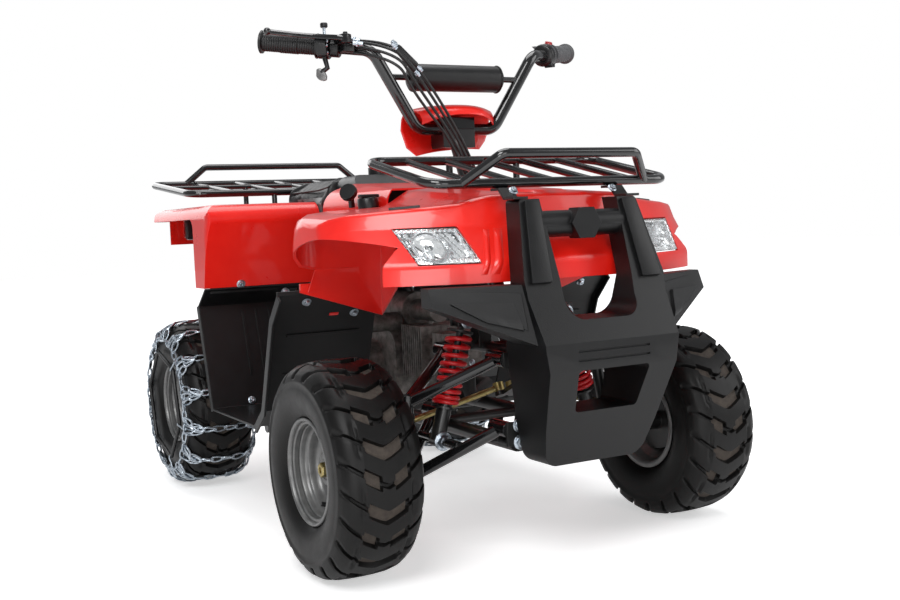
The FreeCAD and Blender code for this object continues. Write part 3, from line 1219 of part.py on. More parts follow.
def racks():
    rim, rod = v.rack_tube / 2, v.rack_bar / 2
    half, front, rear = v.front_rack_half, v.front_rack_front, v.front_rack_rear
    low, high = v.front_rack_low, v.front_rack_high
    loop = [point(half, front, low), point(half, rear, high), point(-half, rear, high),
            point(-half, front, low)]
    pieces = [closed_loop(loop, rim, v.rack_bend)]
    hoop = [point(v.hoop_foot_half, front, low), point(v.hoop_top_half, v.hoop_ahead, v.hoop_height),
            point(-v.hoop_top_half, v.hoop_ahead, v.hoop_height), point(-v.hoop_foot_half, front, low)]
    pieces.append(tube(hoop, rim, v.rack_bend / 2))
    gaps = int(v.front_rack_bars) + 1
    for k in range(1, gaps):
        x = -half + 2 * half * k / gaps
        pieces.append(bar(point(x, front, low), point(x, rear, high), rod))
    for side in (-1, 1):
        foot = point(side * v.rail_half, rear, hood_height(rear - rod) + v.play)
        pieces.append(bar(foot, point(side * v.rail_half, rear, high), rod))
    node("front_rack", joined(pieces))

    straps = []
    for side in (-1, 1):
        top = v.front_rack_low - rim - v.play
        low_face = v.bumper_top_height + v.play + v.rack_strap_plate
        line = [(-front + rim, top), (-front - rim * 2, top),
                (-v.bumper_top_ahead + v.upright_depth * 0.75, low_face), (-v.bumper_top_ahead, low_face)]
        low_x = side * v.rack_strap_half - v.rack_strap / 2
        straps.append(prism(strip(line, v.rack_strap_plate), "x", low_x, low_x + v.rack_strap))
    node("rack_brackets", Part.makeCompound(straps))

    half, front, rear = v.rear_rack_half, -v.rear_rack_front, -v.rear_rack_rear
    low, high = v.rear_rack_low, v.rear_rack_high
    loop = [point(half, front, low), point(half, rear, high), point(-half, rear, high),
            point(-half, front, low)]
    pieces = [closed_loop(loop, rim, v.rack_bend)]
    hoop = [point(v.rear_hoop_foot, rear, high), point(v.rear_hoop_top, rear, v.rear_hoop_height),
            point(-v.rear_hoop_top, rear, v.rear_hoop_height), point(-v.rear_hoop_foot, rear, high)]
    pieces.append(tube(hoop, rim, v.rack_bend / 2))
    gaps = int(v.rear_rack_bars) + 1
    for k in range(1, gaps):
        x = -half + 2 * half * k / gaps
        pieces.append(bar(point(x, front, low), point(x, rear, high), rod))
    share = (-v.rack_leg_rear - front) / (rear - front)
    height = low + (high - low) * share
    pieces.append(bar(point(-half, -v.rack_leg_rear, height), point(half, -v.rack_leg_rear, height), rod))
    for side in (-1, 1):
        for ahead, top in ((front, low), (-v.rack_leg_rear, height)):
            foot = point(side * v.rack_leg_half, ahead, v.rear_top_height + v.play)
            pieces.append(bar(foot, point(side * v.rack_leg_half, ahead, top), rod))
    node("rear_rack", joined(pieces))


# Handlebar, pad, grips and controls
def bar_route():
    outer = point(v.grip_outer_half, v.grip_outer_ahead, bar_base + v.grip_outer_rise)
    bend = point(v.bend_half, v.bend_ahead, bar_base + v.bend_rise)
    low = point(v.bar_clamp_half, v.bend_ahead - v.skin * 2, v.stem_top_height)
    return outer, bend, low


def flip(place):
    return FreeCAD.Vector(-place.x, place.y, place.z)


def bar_tube_shape(grow):
    outer, bend, low = bar_route()
    inside = outer + (bend - outer).normalize() * v.skin
    route = [inside, bend, low, flip(low), flip(bend), flip(inside)]
    return tube(route, v.bar_tube / 2 + grow, v.bar_bend)


def handlebar():
    outer, bend, low = bar_route()
    shape = bar_tube_shape(0)
    share = (bar_base + v.pad_rise - low.z) / (bend.z - low.z)
    side = low + (bend - low) * share
    cross = bar(side, flip(side), v.bar_tube / 4)
    clamp = slab(-v.clamp_block * 0.8, v.clamp_block * 0.8, v.bend_ahead + v.skin,
                 v.stem_top_ahead - v.stem_tube,
                 v.stem_top_height + v.play, v.stem_top_height + v.bar_tube)
    node("handlebar", joined([shape, cross, clamp]))

    pad_half = v.bar_rise_half
    centre = FreeCAD.Vector(0, side.y, side.z)
    pad = bar(centre - along_x * pad_half, centre + along_x * pad_half, v.pad_radius)
    pad = pad.cut(bar(centre - along_x * pad_half * 2, centre + along_x * pad_half * 2,
                      v.bar_tube / 4 + v.play))
    node("bar_pad", pad)

    grips = []
    inner = outer + (bend - outer).normalize() * (v.grip_outer_half - v.grip_inner_half) * 1.14
    for place in ((outer, inner), (flip(outer), flip(inner))):
        grip = bar(place[0], place[1], v.grip_radius)
        hollow = bar(place[0] + (place[1] - place[0]).normalize() * v.skin,
                     place[1] + (place[1] - place[0]), v.bar_tube / 2 + v.play)
        grips.append(grip.cut(hollow))
    node("grips", Part.makeCompound(grips))

    line = (bend - outer).normalize()
    pod_start = inner + line * v.skin
    tube_hole = bar(outer, bend, v.bar_tube / 2 + v.play)
    pod = bar(pod_start, pod_start + line * v.pod_length, v.pod_radius).cut(tube_hole)
    node("switch_box", pod)
    throttle = bar(pod_start, pod_start + line * v.pod_length * 0.6, v.pod_radius)
    drop = FreeCAD.Vector(0, -v.pod_radius, -v.pod_radius * 2)
    middle = pod_start + line * v.pod_length * 0.3
    thumb = bar(middle, middle + drop, v.lever_ball * 0.8)
    node("throttle_box", mirrored(throttle.fuse(thumb).removeSplitter().cut(tube_hole)))
    perch_start = pod_start + line * (v.pod_length * 0.6 + v.skin)
    perch = bar(perch_start, perch_start + line * v.perch_length / 2, v.pod_radius * 0.8)
    reach = FreeCAD.Vector(0, -v.lever_reach, v.lever_plate)
    hinge = perch_start + line * v.perch_length / 4 + reach
    tip = hinge - line * v.lever_length
    pieces = [perch, bar(perch_start + line * v.perch_length / 4, hinge, v.lever_plate),
              bar(hinge, tip, v.lever_plate / 2),
              Part.makeSphere(v.lever_ball, tip)]
    node("brake_lever", mirrored(joined(pieces).cut(tube_hole)))


# For each cable: turn round the bar at its start, drop and step back at its first bend
cable_lanes = ((0, 0, 22), (40, 7, 18), (80, 20, 6), (120, 33, 2))


# Cover over the bar's clamp: a rounded hood with a brow in front, open below it
def shroud_block(inset, extra):
    rear, front = -v.shroud_rear_ahead, -v.shroud_ahead + inset
    half, low, top = v.shroud_half - inset, shroud_low - extra, shroud_top - inset
    side = [(front, low), (front, top - v.nose_lean * 0.6, v.shroud_round),
            (front + v.shroud_round, top, v.shroud_round),
            (rear + extra, top - v.shroud_skin * 2), (rear + extra, low)]
    block = prism(side, "x", -half, half)
    front_view = [(half * 0.8, low), (half, (low + top) / 2, v.shroud_round),
                  (half * 0.82, top - v.shroud_round, v.shroud_round),
                  (half * 0.4, top, v.shroud_round)]
    return block.common(prism(mirrored_outline(front_view), "y", front - v.overrun,
                              rear + extra + v.overrun))


def shroud():
    shell = shroud_block(0, 0).cut(shroud_block(v.shroud_skin, v.overrun))
    brow = shroud_low + (shroud_top - shroud_low) * 0.52
    opening = [(v.shroud_half * 0.7, shroud_low - v.overrun),
               (v.shroud_half * 0.78, brow - v.shroud_round, v.shroud_round / 2),
               (v.shroud_half * 0.4, brow, v.shroud_round)]
    shell = shell.cut(prism(mirrored_outline(opening), "y", -v.shroud_ahead - v.overrun, -v.bend_ahead))
    boss = slab(-v.stem_tube / 2, v.stem_tube / 2, v.bend_ahead, v.stem_top_ahead - v.stem_tube / 2,
                v.stem_top_height + v.bar_tube + v.play, shroud_top - v.shroud_skin * 2)
    shell = shell.fuse(boss)
    bend, low = bar_route()[1:]
    for side in (-1, 1):
        a, b = FreeCAD.Vector(side * low.x, low.y, low.z), FreeCAD.Vector(side * bend.x, bend.y, bend.z)
        shell = shell.cut(bar(a, b, v.bar_tube / 2 + v.running_gap))
        shell = shell.cut(bar(a - along_x * side * v.clamp_block, a + along_x * side * v.clamp_block,
                              v.bar_tube / 2 + v.running_gap * 2))
        shell = shell.cut(Part.makeSphere(v.bar_tube, a))
    node("bar_cover", shell)


def cables():
    outer, bend = bar_route()[:2]
    # each cable leaves the lever's perch on its own side of the bar, then all meet in front of the column
    line = (bend - outer).normalize()
    square = along_z.cross(line).normalize()
    square = square * (-1 if square.y > 0 else 1)
    over = square.cross(line).normalize()
    over = over * (-1 if over.z < 0 else 1)
    leave = bend + (outer - bend) * ((v.cable_start_half - bend.x) / (outer.x - bend.x))
    reach = v.bar_tube / 2 + v.cable_radius + v.play
    leads = []
    for k, (turn, drop, ahead) in enumerate(cable_lanes):
        aside = -v.cable_radius * 3 * k
        start = flip(leave + over * (reach * cos(radians(turn))) + square * (reach * sin(radians(turn))))
        front = v.shroud_ahead + v.cable_ahead
        rise = hood_height(v.stem_top_ahead) - v.skin - v.stem_foot_height
        end = stem_foot + stem_line * (rise / stem_line.z)
        end_y = end.y - v.stem_tube / 2 / stem_line.z - v.cable_radius * 2
        end = FreeCAD.Vector(aside + v.stem_tube / 2, end_y, end.z)
        route = [start, FreeCAD.Vector(-v.cable_wide_half, -front - v.cable_ahead + ahead,
                                       bar_base + v.cable_wide_rise - drop),
                 FreeCAD.Vector(-v.cable_knee_half + aside, -front, bar_base + v.cable_knee_rise - drop),
                 FreeCAD.Vector(-v.cable_low_half + aside, -front, shroud_low), end]
        leads.append(tube(route, v.cable_radius, v.bar_bend / 2))
    node("control_cables", Part.makeCompound(leads))


frame()
engine()
suspension()
arms()
swingarm()
for name, side in (("right", -1), ("left", 1)):
    knuckle("knuckle_" + name, side)
    tie_rod("tie_rod_" + name, side)
column()
wheels()
front_body()
rear_body()
lamps()
seat()
footwells()
bumper()
racks()
handlebar()
shroud()
cables()

doc.recompute()
for piece in doc.Objects:
    broken = {"Invalid", "Error"} & set(piece.State)
    if broken:
        raise RuntimeError(f"{piece.Label} did not rebuild: {sorted(broken)}")
for piece in nodes:
    if piece.Shape.isNull() or not piece.Shape.isValid():
        raise RuntimeError(f"{piece.Label} is not a valid shape")
os.makedirs("parts", exist_ok=True)
for piece in nodes:
    piece.Shape.exportStep(f"parts/{piece.Label}.step")
    print(f"{piece.Label}: {len(piece.Shape.Solids)} solids, {piece.Shape.Volume / 1000:.1f} cm3")
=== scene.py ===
import math
import bpy
from mathutils import Matrix, Vector
from mathutils.bvhtree import BVHTree


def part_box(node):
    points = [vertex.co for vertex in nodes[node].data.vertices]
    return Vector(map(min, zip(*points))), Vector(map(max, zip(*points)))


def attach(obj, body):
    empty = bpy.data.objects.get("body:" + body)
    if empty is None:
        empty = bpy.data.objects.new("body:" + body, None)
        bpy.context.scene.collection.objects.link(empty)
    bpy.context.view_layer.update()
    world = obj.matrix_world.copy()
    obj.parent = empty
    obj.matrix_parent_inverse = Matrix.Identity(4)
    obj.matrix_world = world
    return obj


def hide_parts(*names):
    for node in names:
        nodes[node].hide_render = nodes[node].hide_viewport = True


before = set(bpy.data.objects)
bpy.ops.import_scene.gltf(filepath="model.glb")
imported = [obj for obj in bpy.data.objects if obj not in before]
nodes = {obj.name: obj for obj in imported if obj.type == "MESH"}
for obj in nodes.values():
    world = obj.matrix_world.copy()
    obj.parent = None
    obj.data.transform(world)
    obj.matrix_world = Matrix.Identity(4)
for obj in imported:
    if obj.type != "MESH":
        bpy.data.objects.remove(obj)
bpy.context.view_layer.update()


# sRGB hex to the linear colour a shader takes
def hexColour(code):
    parts = [int(code[i:i + 2], 16) / 255 for i in (1, 3, 5)]
    linear = [p / 12.92 if p <= 0.04045 else ((p + 0.055) / 1.055) ** 2.4 for p in parts]
    return (*linear, 1.0)


# adds one shader node: plain settings by attribute name, inputs by socket name or number
def addNode(tree, kind, settings=None, **inputs):
    made = tree.nodes.new("ShaderNode" + kind)
    for name, value in (settings or {}).items():
        setattr(made, name, value)
    for name, value in inputs.items():
        key = int(name[2:]) if name.startswith("at") and name[2:].isdigit() else name.replace("_", " ")
        socket = made.inputs[key]
        if isinstance(value, bpy.types.NodeSocket):
            tree.links.new(value, socket)
        else:
            socket.default_value = value
    return made


# One finish: two close colours mottled together, grain as bump, a little roughness change
# sizes of the mottle and of the grain are in millimetres
def finish(name, colours, rough, grain, metal=0.0, coat=0.0, coatRough=0.05, **sockets):
    made = bpy.data.materials.new(name)
    made.use_nodes = True
    tree = made.node_tree
    shader = tree.nodes["Principled BSDF"]
    place = addNode(tree, "TexCoord")
    mottle = addNode(tree, "TexNoise", Vector=place.outputs["Object"], Scale=1000 / grain["mottle"],
                     Detail=4.0, Roughness=0.6)
    ramp = addNode(tree, "ValToRGB", Fac=mottle.outputs["Fac"])
    ramp.color_ramp.elements[0].position = 0.35
    ramp.color_ramp.elements[0].color = hexColour(colours[0])
    ramp.color_ramp.elements[1].position = 0.68
    ramp.color_ramp.elements[1].color = hexColour(colours[1])
    tree.links.new(ramp.outputs["Color"], shader.inputs["Base Color"])
    spread = addNode(tree, "MapRange", Value=mottle.outputs["Fac"], at3=rough[0], at4=rough[1])
    tree.links.new(spread.outputs["Result"], shader.inputs["Roughness"])
    kinds = {"noise": ("TexNoise", "Fac"), "cells": ("TexVoronoi", "Distance")}
    kind, output = kinds[grain.get("kind", "noise")]
    pattern = addNode(tree, kind, Vector=place.outputs["Object"], Scale=1000 / grain["size"])
    edge = addNode(tree, "Bevel", {"samples": 4}, Radius=grain.get("edge", 1.5) / 1000)
    bump = addNode(tree, "Bump", Height=pattern.outputs[output], Strength=grain["strength"],
                   Distance=grain["depth"] / 1000, Normal=edge.outputs["Normal"])
    tree.links.new(bump.outputs["Normal"], shader.inputs["Normal"])
    shader.inputs["Metallic"].default_value = metal
    shader.inputs["Coat Weight"].default_value = coat
    shader.inputs["Coat Roughness"].default_value = coatRough
    for socket, value in sockets.items():
        shader.inputs[socket.replace("_", " ")].default_value = value
    return made


mergeDistance = 0.00002


# leaves one object selected and active
def pick(made):
    bpy.ops.object.select_all(action="DESELECT")
    made.select_set(True)
    bpy.context.view_layer.objects.active = made


# a line of edges: one vertex, extruded from point to point; leaves it selected in edit mode
def drawLine(points):
    places = [Vector(p) for p in points]
    bpy.ops.object.select_all(action="DESELECT")
    bpy.ops.mesh.primitive_plane_add(size=0.01, location=(0, 0, 0))
    bpy.ops.object.mode_set(mode="EDIT")
    bpy.ops.mesh.merge(type="CENTER")
    bpy.ops.transform.translate(value=places[0])
    for here, there in zip(places, places[1:]):
        bpy.ops.mesh.extrude_region_move(TRANSFORM_OT_translate={"value": there - here})
    bpy.ops.mesh.select_all(action="SELECT")


# leaves edit mode, and gives the part's faces the number of their material in the piece
def endPart(index):
    bpy.ops.object.mode_set(mode="OBJECT")
    made = bpy.context.object
    made.data.polygons.foreach_set("material_index", [index] * len(made.data.polygons))
    return made


# a profile of (distance along, radius) spun about an axis through centre
def turnPart(rows, centre, axis, sides=48, index=0):
    drawLine([(radius, 0, along) for along, radius in rows])
    bpy.ops.mesh.spin(steps=sides, angle=2 * math.pi, center=(0, 0, 0), axis=(0, 0, 1))
    bpy.ops.mesh.select_all(action="SELECT")
    bpy.ops.mesh.remove_doubles(threshold=mergeDistance)
    bpy.ops.mesh.normals_make_consistent(inside=False)
    made = endPart(index)
    turn = Vector((0, 0, 1)).rotation_difference(Vector(axis))
    made.data.transform(Matrix.Translation(centre) @ turn.to_matrix().to_4x4())
    return made


# an outline filled, extruded along a way and bevelled all round
def prismPart(outline, way, bevel=0.0, index=0):
    drawLine(outline)
    bpy.ops.mesh.edge_face_add()
    bpy.ops.mesh.extrude_region_move(TRANSFORM_OT_translate={"value": Vector(way)})
    bpy.ops.mesh.select_all(action="SELECT")
    bpy.ops.mesh.normals_make_consistent(inside=False)
    if bevel:
        bpy.ops.mesh.bevel(offset=bevel, segments=2, profile=0.6, affect="EDGES")
    return endPart(index)


# a round bar through points: a curve bevelled by a ring, turned into a mesh
def tubePart(points, radius, sides=10, closed=False, index=0):
    bpy.ops.object.select_all(action="DESELECT")
    bpy.ops.mesh.primitive_circle_add(vertices=sides, radius=radius, location=(0, 0, 0))
    bpy.ops.object.convert(target="CURVE")
    ring = bpy.context.object
    data = bpy.data.curves.new("tube", "CURVE")
    data.dimensions = "3D"
    spline = data.splines.new("POLY")
    spline.points.add(len(points) - 1)
    for point, place in zip(spline.points, points):
        point.co = (*place, 1)
    spline.use_cyclic_u = closed
    data.bevel_mode, data.bevel_object = "OBJECT", ring
    data.use_fill_caps = not closed
    made = bpy.data.objects.new("tube", data)
    bpy.context.scene.collection.objects.link(made)
    pick(made)
    bpy.ops.object.convert(target="MESH")
    bpy.data.objects.remove(ring)
    return endPart(index)


# a part made straight from its points, where no primitive comes near the form
def meshPart(points, faces, marks):
    mesh = bpy.data.meshes.new("part")
    mesh.from_pydata([tuple(p) for p in points], [], faces)
    mesh.polygons.foreach_set("material_index", marks)
    made = bpy.data.objects.new("part", mesh)
    bpy.context.scene.collection.objects.link(made)
    return made


def copyPart(part, matrix, index=0):
    made = bpy.data.objects.new(part.name, part.data.copy())
    made.data.transform(matrix)
    made.data.materials.clear()
    made.data.polygons.foreach_set("material_index", [index] * len(made.data.polygons))
    bpy.context.scene.collection.objects.link(made)
    return made


# joins parts into one named piece that rides on a body and may replace CAD nodes
def addPiece(name, parts, materials, body, replaced=(), sharp=38):
    bpy.ops.object.select_all(action="DESELECT")
    for part in parts:
        for material in materials:
            part.data.materials.append(material)
        part.select_set(True)
    made = parts[0]
    bpy.context.view_layer.objects.active = made
    if len(parts) > 1:
        bpy.ops.object.join()
    bpy.ops.object.mode_set(mode="EDIT")
    bpy.ops.mesh.select_all(action="SELECT")
    bpy.ops.mesh.remove_doubles(threshold=mergeDistance)
    bpy.ops.mesh.normals_make_consistent(inside=False)
    bpy.ops.object.mode_set(mode="OBJECT")
    bpy.ops.object.shade_smooth_by_angle(angle=math.radians(sharp))
    made.name = made.data.name = name
    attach(made, body)
    if replaced:
        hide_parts(*replaced)
    return made


# applies the modifiers that a finished piece still carries
def applyAll(made):
    pick(made)
    for step in [modifier.name for modifier in made.modifiers]:
        bpy.ops.object.modifier_apply(modifier=step)


# a surface to cast on: one node's or one piece's mesh
def castSurface(name):
    source = nodes.get(name) or bpy.data.objects[name]
    places = [source.matrix_world @ vert.co for vert in source.data.vertices]
    return BVHTree.FromPolygons(places, [tuple(face.vertices) for face in source.data.polygons])


# a shell between two grids of points; the front's faces and the rest can differ in material
def shellPart(front, back, index=0, inner=None):
    inner = index if inner is None else inner
    wide, high = len(front[0]), len(front)
    count = wide * high
    faces, marks = [], []
    for start, mark in ((0, index), (count, inner)):
        for j in range(high - 1):
            for i in range(wide - 1):
                a = start + j * wide + i
                faces.append((a, a + 1, a + 1 + wide, a + wide))
                marks.append(mark)
    border = list(range(wide)) + [j * wide + wide - 1 for j in range(1, high - 1)]
    border += list(range(count - 1, count - wide - 1, -1)) + [j * wide for j in range(high - 2, 0, -1)]
    for a, b in zip(border, border[1:] + border[:1]):
        faces.append((a, b, b + count, a + count))
        marks.append(inner)
    return meshPart([p for rows in (front, back) for row in rows for p in row], faces, marks)


# a thin cover laid on a surface between four corners, cast along a way; rise gives its height by share
def coverPart(surface, corners, way, rise, cells=(10, 6), index=0):
    way = Vector(way).normalized()
    a, b, c, d = (Vector(p) for p in corners)
    top, foot = [], []
    for j in range(cells[1] + 1):
        topRow, footRow = [], []
        for i in range(cells[0] + 1):
            s, t = i / cells[0], j / cells[1]
            start = (a.lerp(b, s)).lerp(d.lerp(c, s), t) - way * 0.15
            place, normal = surface.ray_cast(start, way)[:2]
            normal = normal if normal.dot(way) < 0 else -normal
            topRow.append(place + normal * rise(s, t))
            footRow.append(place - normal * 0.001)
        top.append(topRow)
        foot.append(footRow)
    return shellPart(top, foot, index)


# a hexagon bolt on its washer, one unit in radius: modelled once, every bolt is a copy
def makeBoltForm():
    washer = turnPart(((0, 0), (0, 1.42), (0.154, 1.42), (0.22, 1.32), (0.22, 0)), (0, 0, 0), (0, 0, 1), 20)
    head = turnPart(((0.11, 0), (0.11, 1), (0.8, 1), (1, 0.82), (1, 0.3), (0.88, 0.22), (0.88, 0)), (0, 0, 0),
                    (0, 0, 1), 6)
    pick(washer)
    head.select_set(True)
    bpy.ops.object.join()
    return washer


def boltPart(place, way, radius, index=0):
    turn = Vector((0, 0, 1)).rotation_difference(Vector(way).normalized()).to_matrix().to_4x4()
    return copyPart(boltForm, Matrix.Translation(place) @ turn @ Matrix.Scale(radius, 4), index)


print("materials")
# polypropylene coloured through, moulded in a polished tool: deep gloss with faint orange peel
redPolypropylene = finish("redPolypropylene", ("#e3180f", "#ec2317"), (0.24, 0.34),
                          {"mottle": 90, "size": 9, "strength": 0.12, "depth": 0.25}, coat=0.35)
# polyethylene moulded in an etched tool: charcoal with a fine leather grain that softens the lights
grainedPolyethylene = finish("grainedPolyethylene", ("#09090a", "#0e0e0f"), (0.34, 0.46),
                             {"mottle": 30, "size": 1.6, "strength": 0.35, "depth": 0.3, "kind": "cells"},
                             Specular_IOR_Level=0.36)
# gloss stoved enamel on steel tube: black with sharp window lights
glossEnamel = finish("glossEnamel", ("#0c0c0d", "#111112"), (0.12, 0.22),
                     {"mottle": 40, "size": 12, "strength": 0.05, "depth": 0.1}, coat=0.6)
# satin enamel over welded tube: a little duller, with road dust in the mottle
satinEnamel = finish("satinEnamel", ("#0f0f10", "#1a1918"), (0.28, 0.45),
                     {"mottle": 25, "size": 5, "strength": 0.1, "depth": 0.2}, coat=0.2)
# vulcanised tread rubber: grey black, dull, with a fine skin
treadRubber = finish("treadRubber", ("#070606", "#0d0c0b"), (0.34, 0.56),
                     {"mottle": 22, "size": 2.2, "strength": 0.4, "depth": 0.35}, Specular_IOR_Level=0.26)
# road dust dried in the pockets of the tread
dustyRubber = finish("dustyRubber", ("#39322d", "#4b433c"), (0.8, 0.92),
                     {"mottle": 9, "size": 1.2, "strength": 0.4, "depth": 0.3})
# pressed steel with silver grey paint
silverPaint = finish("silverPaint", ("#6c6c6c", "#7e7e7d"), (0.3, 0.42),
                     {"mottle": 18, "size": 3, "strength": 0.08, "depth": 0.1}, metal=0.55)
# sand cast aluminium with oil and road dust baked on
dirtyCasting = finish("dirtyCasting", ("#625f5c", "#918d89"), (0.4, 0.58),
                      {"mottle": 14, "size": 1.8, "strength": 0.4, "depth": 0.3}, metal=0.7)
# heat resistant matt black on pressed steel
mattHeatPaint = finish("mattHeatPaint", ("#141414", "#1f1d1c"), (0.6, 0.75),
                       {"mottle": 14, "size": 2, "strength": 0.3, "depth": 0.2})
# hot dip galvanised wire: bluish bright zinc with soft spangle
galvanisedWire = finish("galvanisedWire", ("#9fa9b3", "#cbd4dc"), (0.22, 0.4),
                        {"mottle": 6, "size": 2, "strength": 0.15, "depth": 0.1}, metal=1.0)
# yellow passivated zinc on turned steel rods
yellowZinc = finish("yellowZinc", ("#9b8a55", "#b9aa78"), (0.3, 0.42),
                    {"mottle": 8, "size": 2, "strength": 0.1, "depth": 0.1}, metal=1.0)
# oiled steel roller chain and turned axle steel
oiledSteel = finish("oiledSteel", ("#5b5a57", "#77746e"), (0.3, 0.45),
                    {"mottle": 7, "size": 1.5, "strength": 0.2, "depth": 0.15}, metal=1.0)
# powder coated spring wire
redPowderCoat = finish("redPowderCoat", ("#c4141c", "#d41d22"), (0.3, 0.38),
                       {"mottle": 20, "size": 2.5, "strength": 0.15, "depth": 0.12}, coat=0.2)
# grained vinyl over foam
blackVinyl = finish("blackVinyl", ("#070708", "#0c0c0d"), (0.34, 0.48),
                    {"mottle": 35, "size": 2.4, "strength": 0.45, "depth": 0.35, "kind": "cells"})
# glass filled nylon of the switch pods and the tank's cover
blackNylon = finish("blackNylon", ("#08080a", "#0d0d0f"), (0.26, 0.4),
                    {"mottle": 16, "size": 1.8, "strength": 0.2, "depth": 0.2})
# vacuum metallised reflector
brightChrome = finish("brightChrome", ("#d2d3d4", "#e6e6e7"), (0.08, 0.16),
                      {"mottle": 12, "size": 4, "strength": 0.05, "depth": 0.05, "edge": 0.4}, metal=1.0)
# grey moulded rubber of the left grip and the pod's ring
greyRubber = finish("greyRubber", ("#4a4b4d", "#5a5b5d"), (0.5, 0.65),
                    {"mottle": 12, "size": 1.6, "strength": 0.3, "depth": 0.2})
# soft rubber of grips, foam sleeve and cable covers
softRubber = finish("softRubber", ("#060607", "#0b0b0c"), (0.34, 0.5),
                    {"mottle": 15, "size": 1.5, "strength": 0.3, "depth": 0.2})
# red acrylic of the tail lamps
redAcrylic = finish("redAcrylic", ("#9c0d10", "#b01216"), (0.08, 0.14),
                    {"mottle": 30, "size": 5, "strength": 0.3, "depth": 0.4}, coat=0.6)
# clear polycarbonate lens
clearPolycarbonate = finish("clearPolycarbonate", ("#f2f4f5", "#fafbfb"), (0.05, 0.1),
                            {"mottle": 40, "size": 20, "strength": 0.02, "depth": 0.1, "edge": 0.5},
                            Transmission_Weight=1.0, IOR=1.49)

nodeFinishes = {
    "frame": satinEnamel, "engine_case": dirtyCasting, "engine_barrel": dirtyCasting,
    "carburettor": dirtyCasting, "exhaust": mattHeatPaint, "drive_chain": oiledSteel, "dampers": satinEnamel,
    "springs": redPowderCoat, "lower_arms": glossEnamel, "upper_arms": glossEnamel, "swingarm": glossEnamel,
    "knuckle_right": satinEnamel, "knuckle_left": satinEnamel, "tie_rod_right": yellowZinc,
    "tie_rod_left": yellowZinc, "steering_column": satinEnamel, "front_tyre_right": treadRubber,
    "front_tyre_left": treadRubber, "rear_tyre_right": treadRubber, "rear_tyre_left": treadRubber,
    "snow_chain_right": galvanisedWire, "snow_chain_left": galvanisedWire, "front_rim_right": silverPaint,
    "front_rim_left": silverPaint, "rear_rims": silverPaint, "rear_axle": oiledSteel,
    "front_body": redPolypropylene, "rear_body": redPolypropylene, "headlights": clearPolycarbonate,
    "tail_lamps": redAcrylic, "seat": blackVinyl, "tank_cover": blackNylon, "footwells": grainedPolyethylene,
    "front_bumper": grainedPolyethylene, "front_rack": glossEnamel, "rack_brackets": satinEnamel,
    "rear_rack": glossEnamel, "handlebar": glossEnamel, "bar_pad": blackVinyl, "grips": softRubber,
    "switch_box": blackNylon, "throttle_box": blackNylon, "brake_lever": glossEnamel,
    "bar_cover": redPolypropylene, "control_cables": softRubber,
}
for name, material in nodeFinishes.items():
    mesh = nodes[name].data
    mesh.materials.clear()
    mesh.materials.append(material)

print("camera, floor and lights")
camera = {"place": (-1.0704, -2.1618, 0.569), "yaw": 28.717, "pitch": -3.84, "roll": -2.42, "pixels": 1155.6,
          "width": 900}


def makeCamera():
    data = bpy.data.cameras.new("camera")
    data.sensor_width = 36
    data.lens = camera["pixels"] * data.sensor_width / camera["width"]
    made = bpy.data.objects.new("camera", data)
    bpy.context.scene.collection.objects.link(made)
    yaw, pitch, roll = (math.radians(camera[k]) for k in ("yaw", "pitch", "roll"))
    ahead = Vector((math.sin(yaw) * math.cos(pitch), math.cos(yaw) * math.cos(pitch), math.sin(pitch)))
    right = Vector((math.cos(yaw), -math.sin(yaw), 0))
    up = right.cross(ahead)
    across = right * math.cos(roll) + up * math.sin(roll)
    upward = up * math.cos(roll) - right * math.sin(roll)
    turn = Matrix((across, upward, -ahead)).transposed().to_4x4()
    made.matrix_world = Matrix.Translation(camera["place"]) @ turn
    bpy.context.scene.camera = made


# white for the camera and behind clear parts, a plain even level as light
def paleSurface(tree, shade):
    path = addNode(tree, "LightPath")
    seen = addNode(tree, "Math", {"operation": "MAXIMUM"}, at0=path.outputs["Is Camera Ray"],
                   at1=path.outputs["Is Transmission Ray"])
    return addNode(tree, "MixRGB", Fac=seen.outputs[0], Color1=shade, Color2=(1, 1, 1, 1)), seen


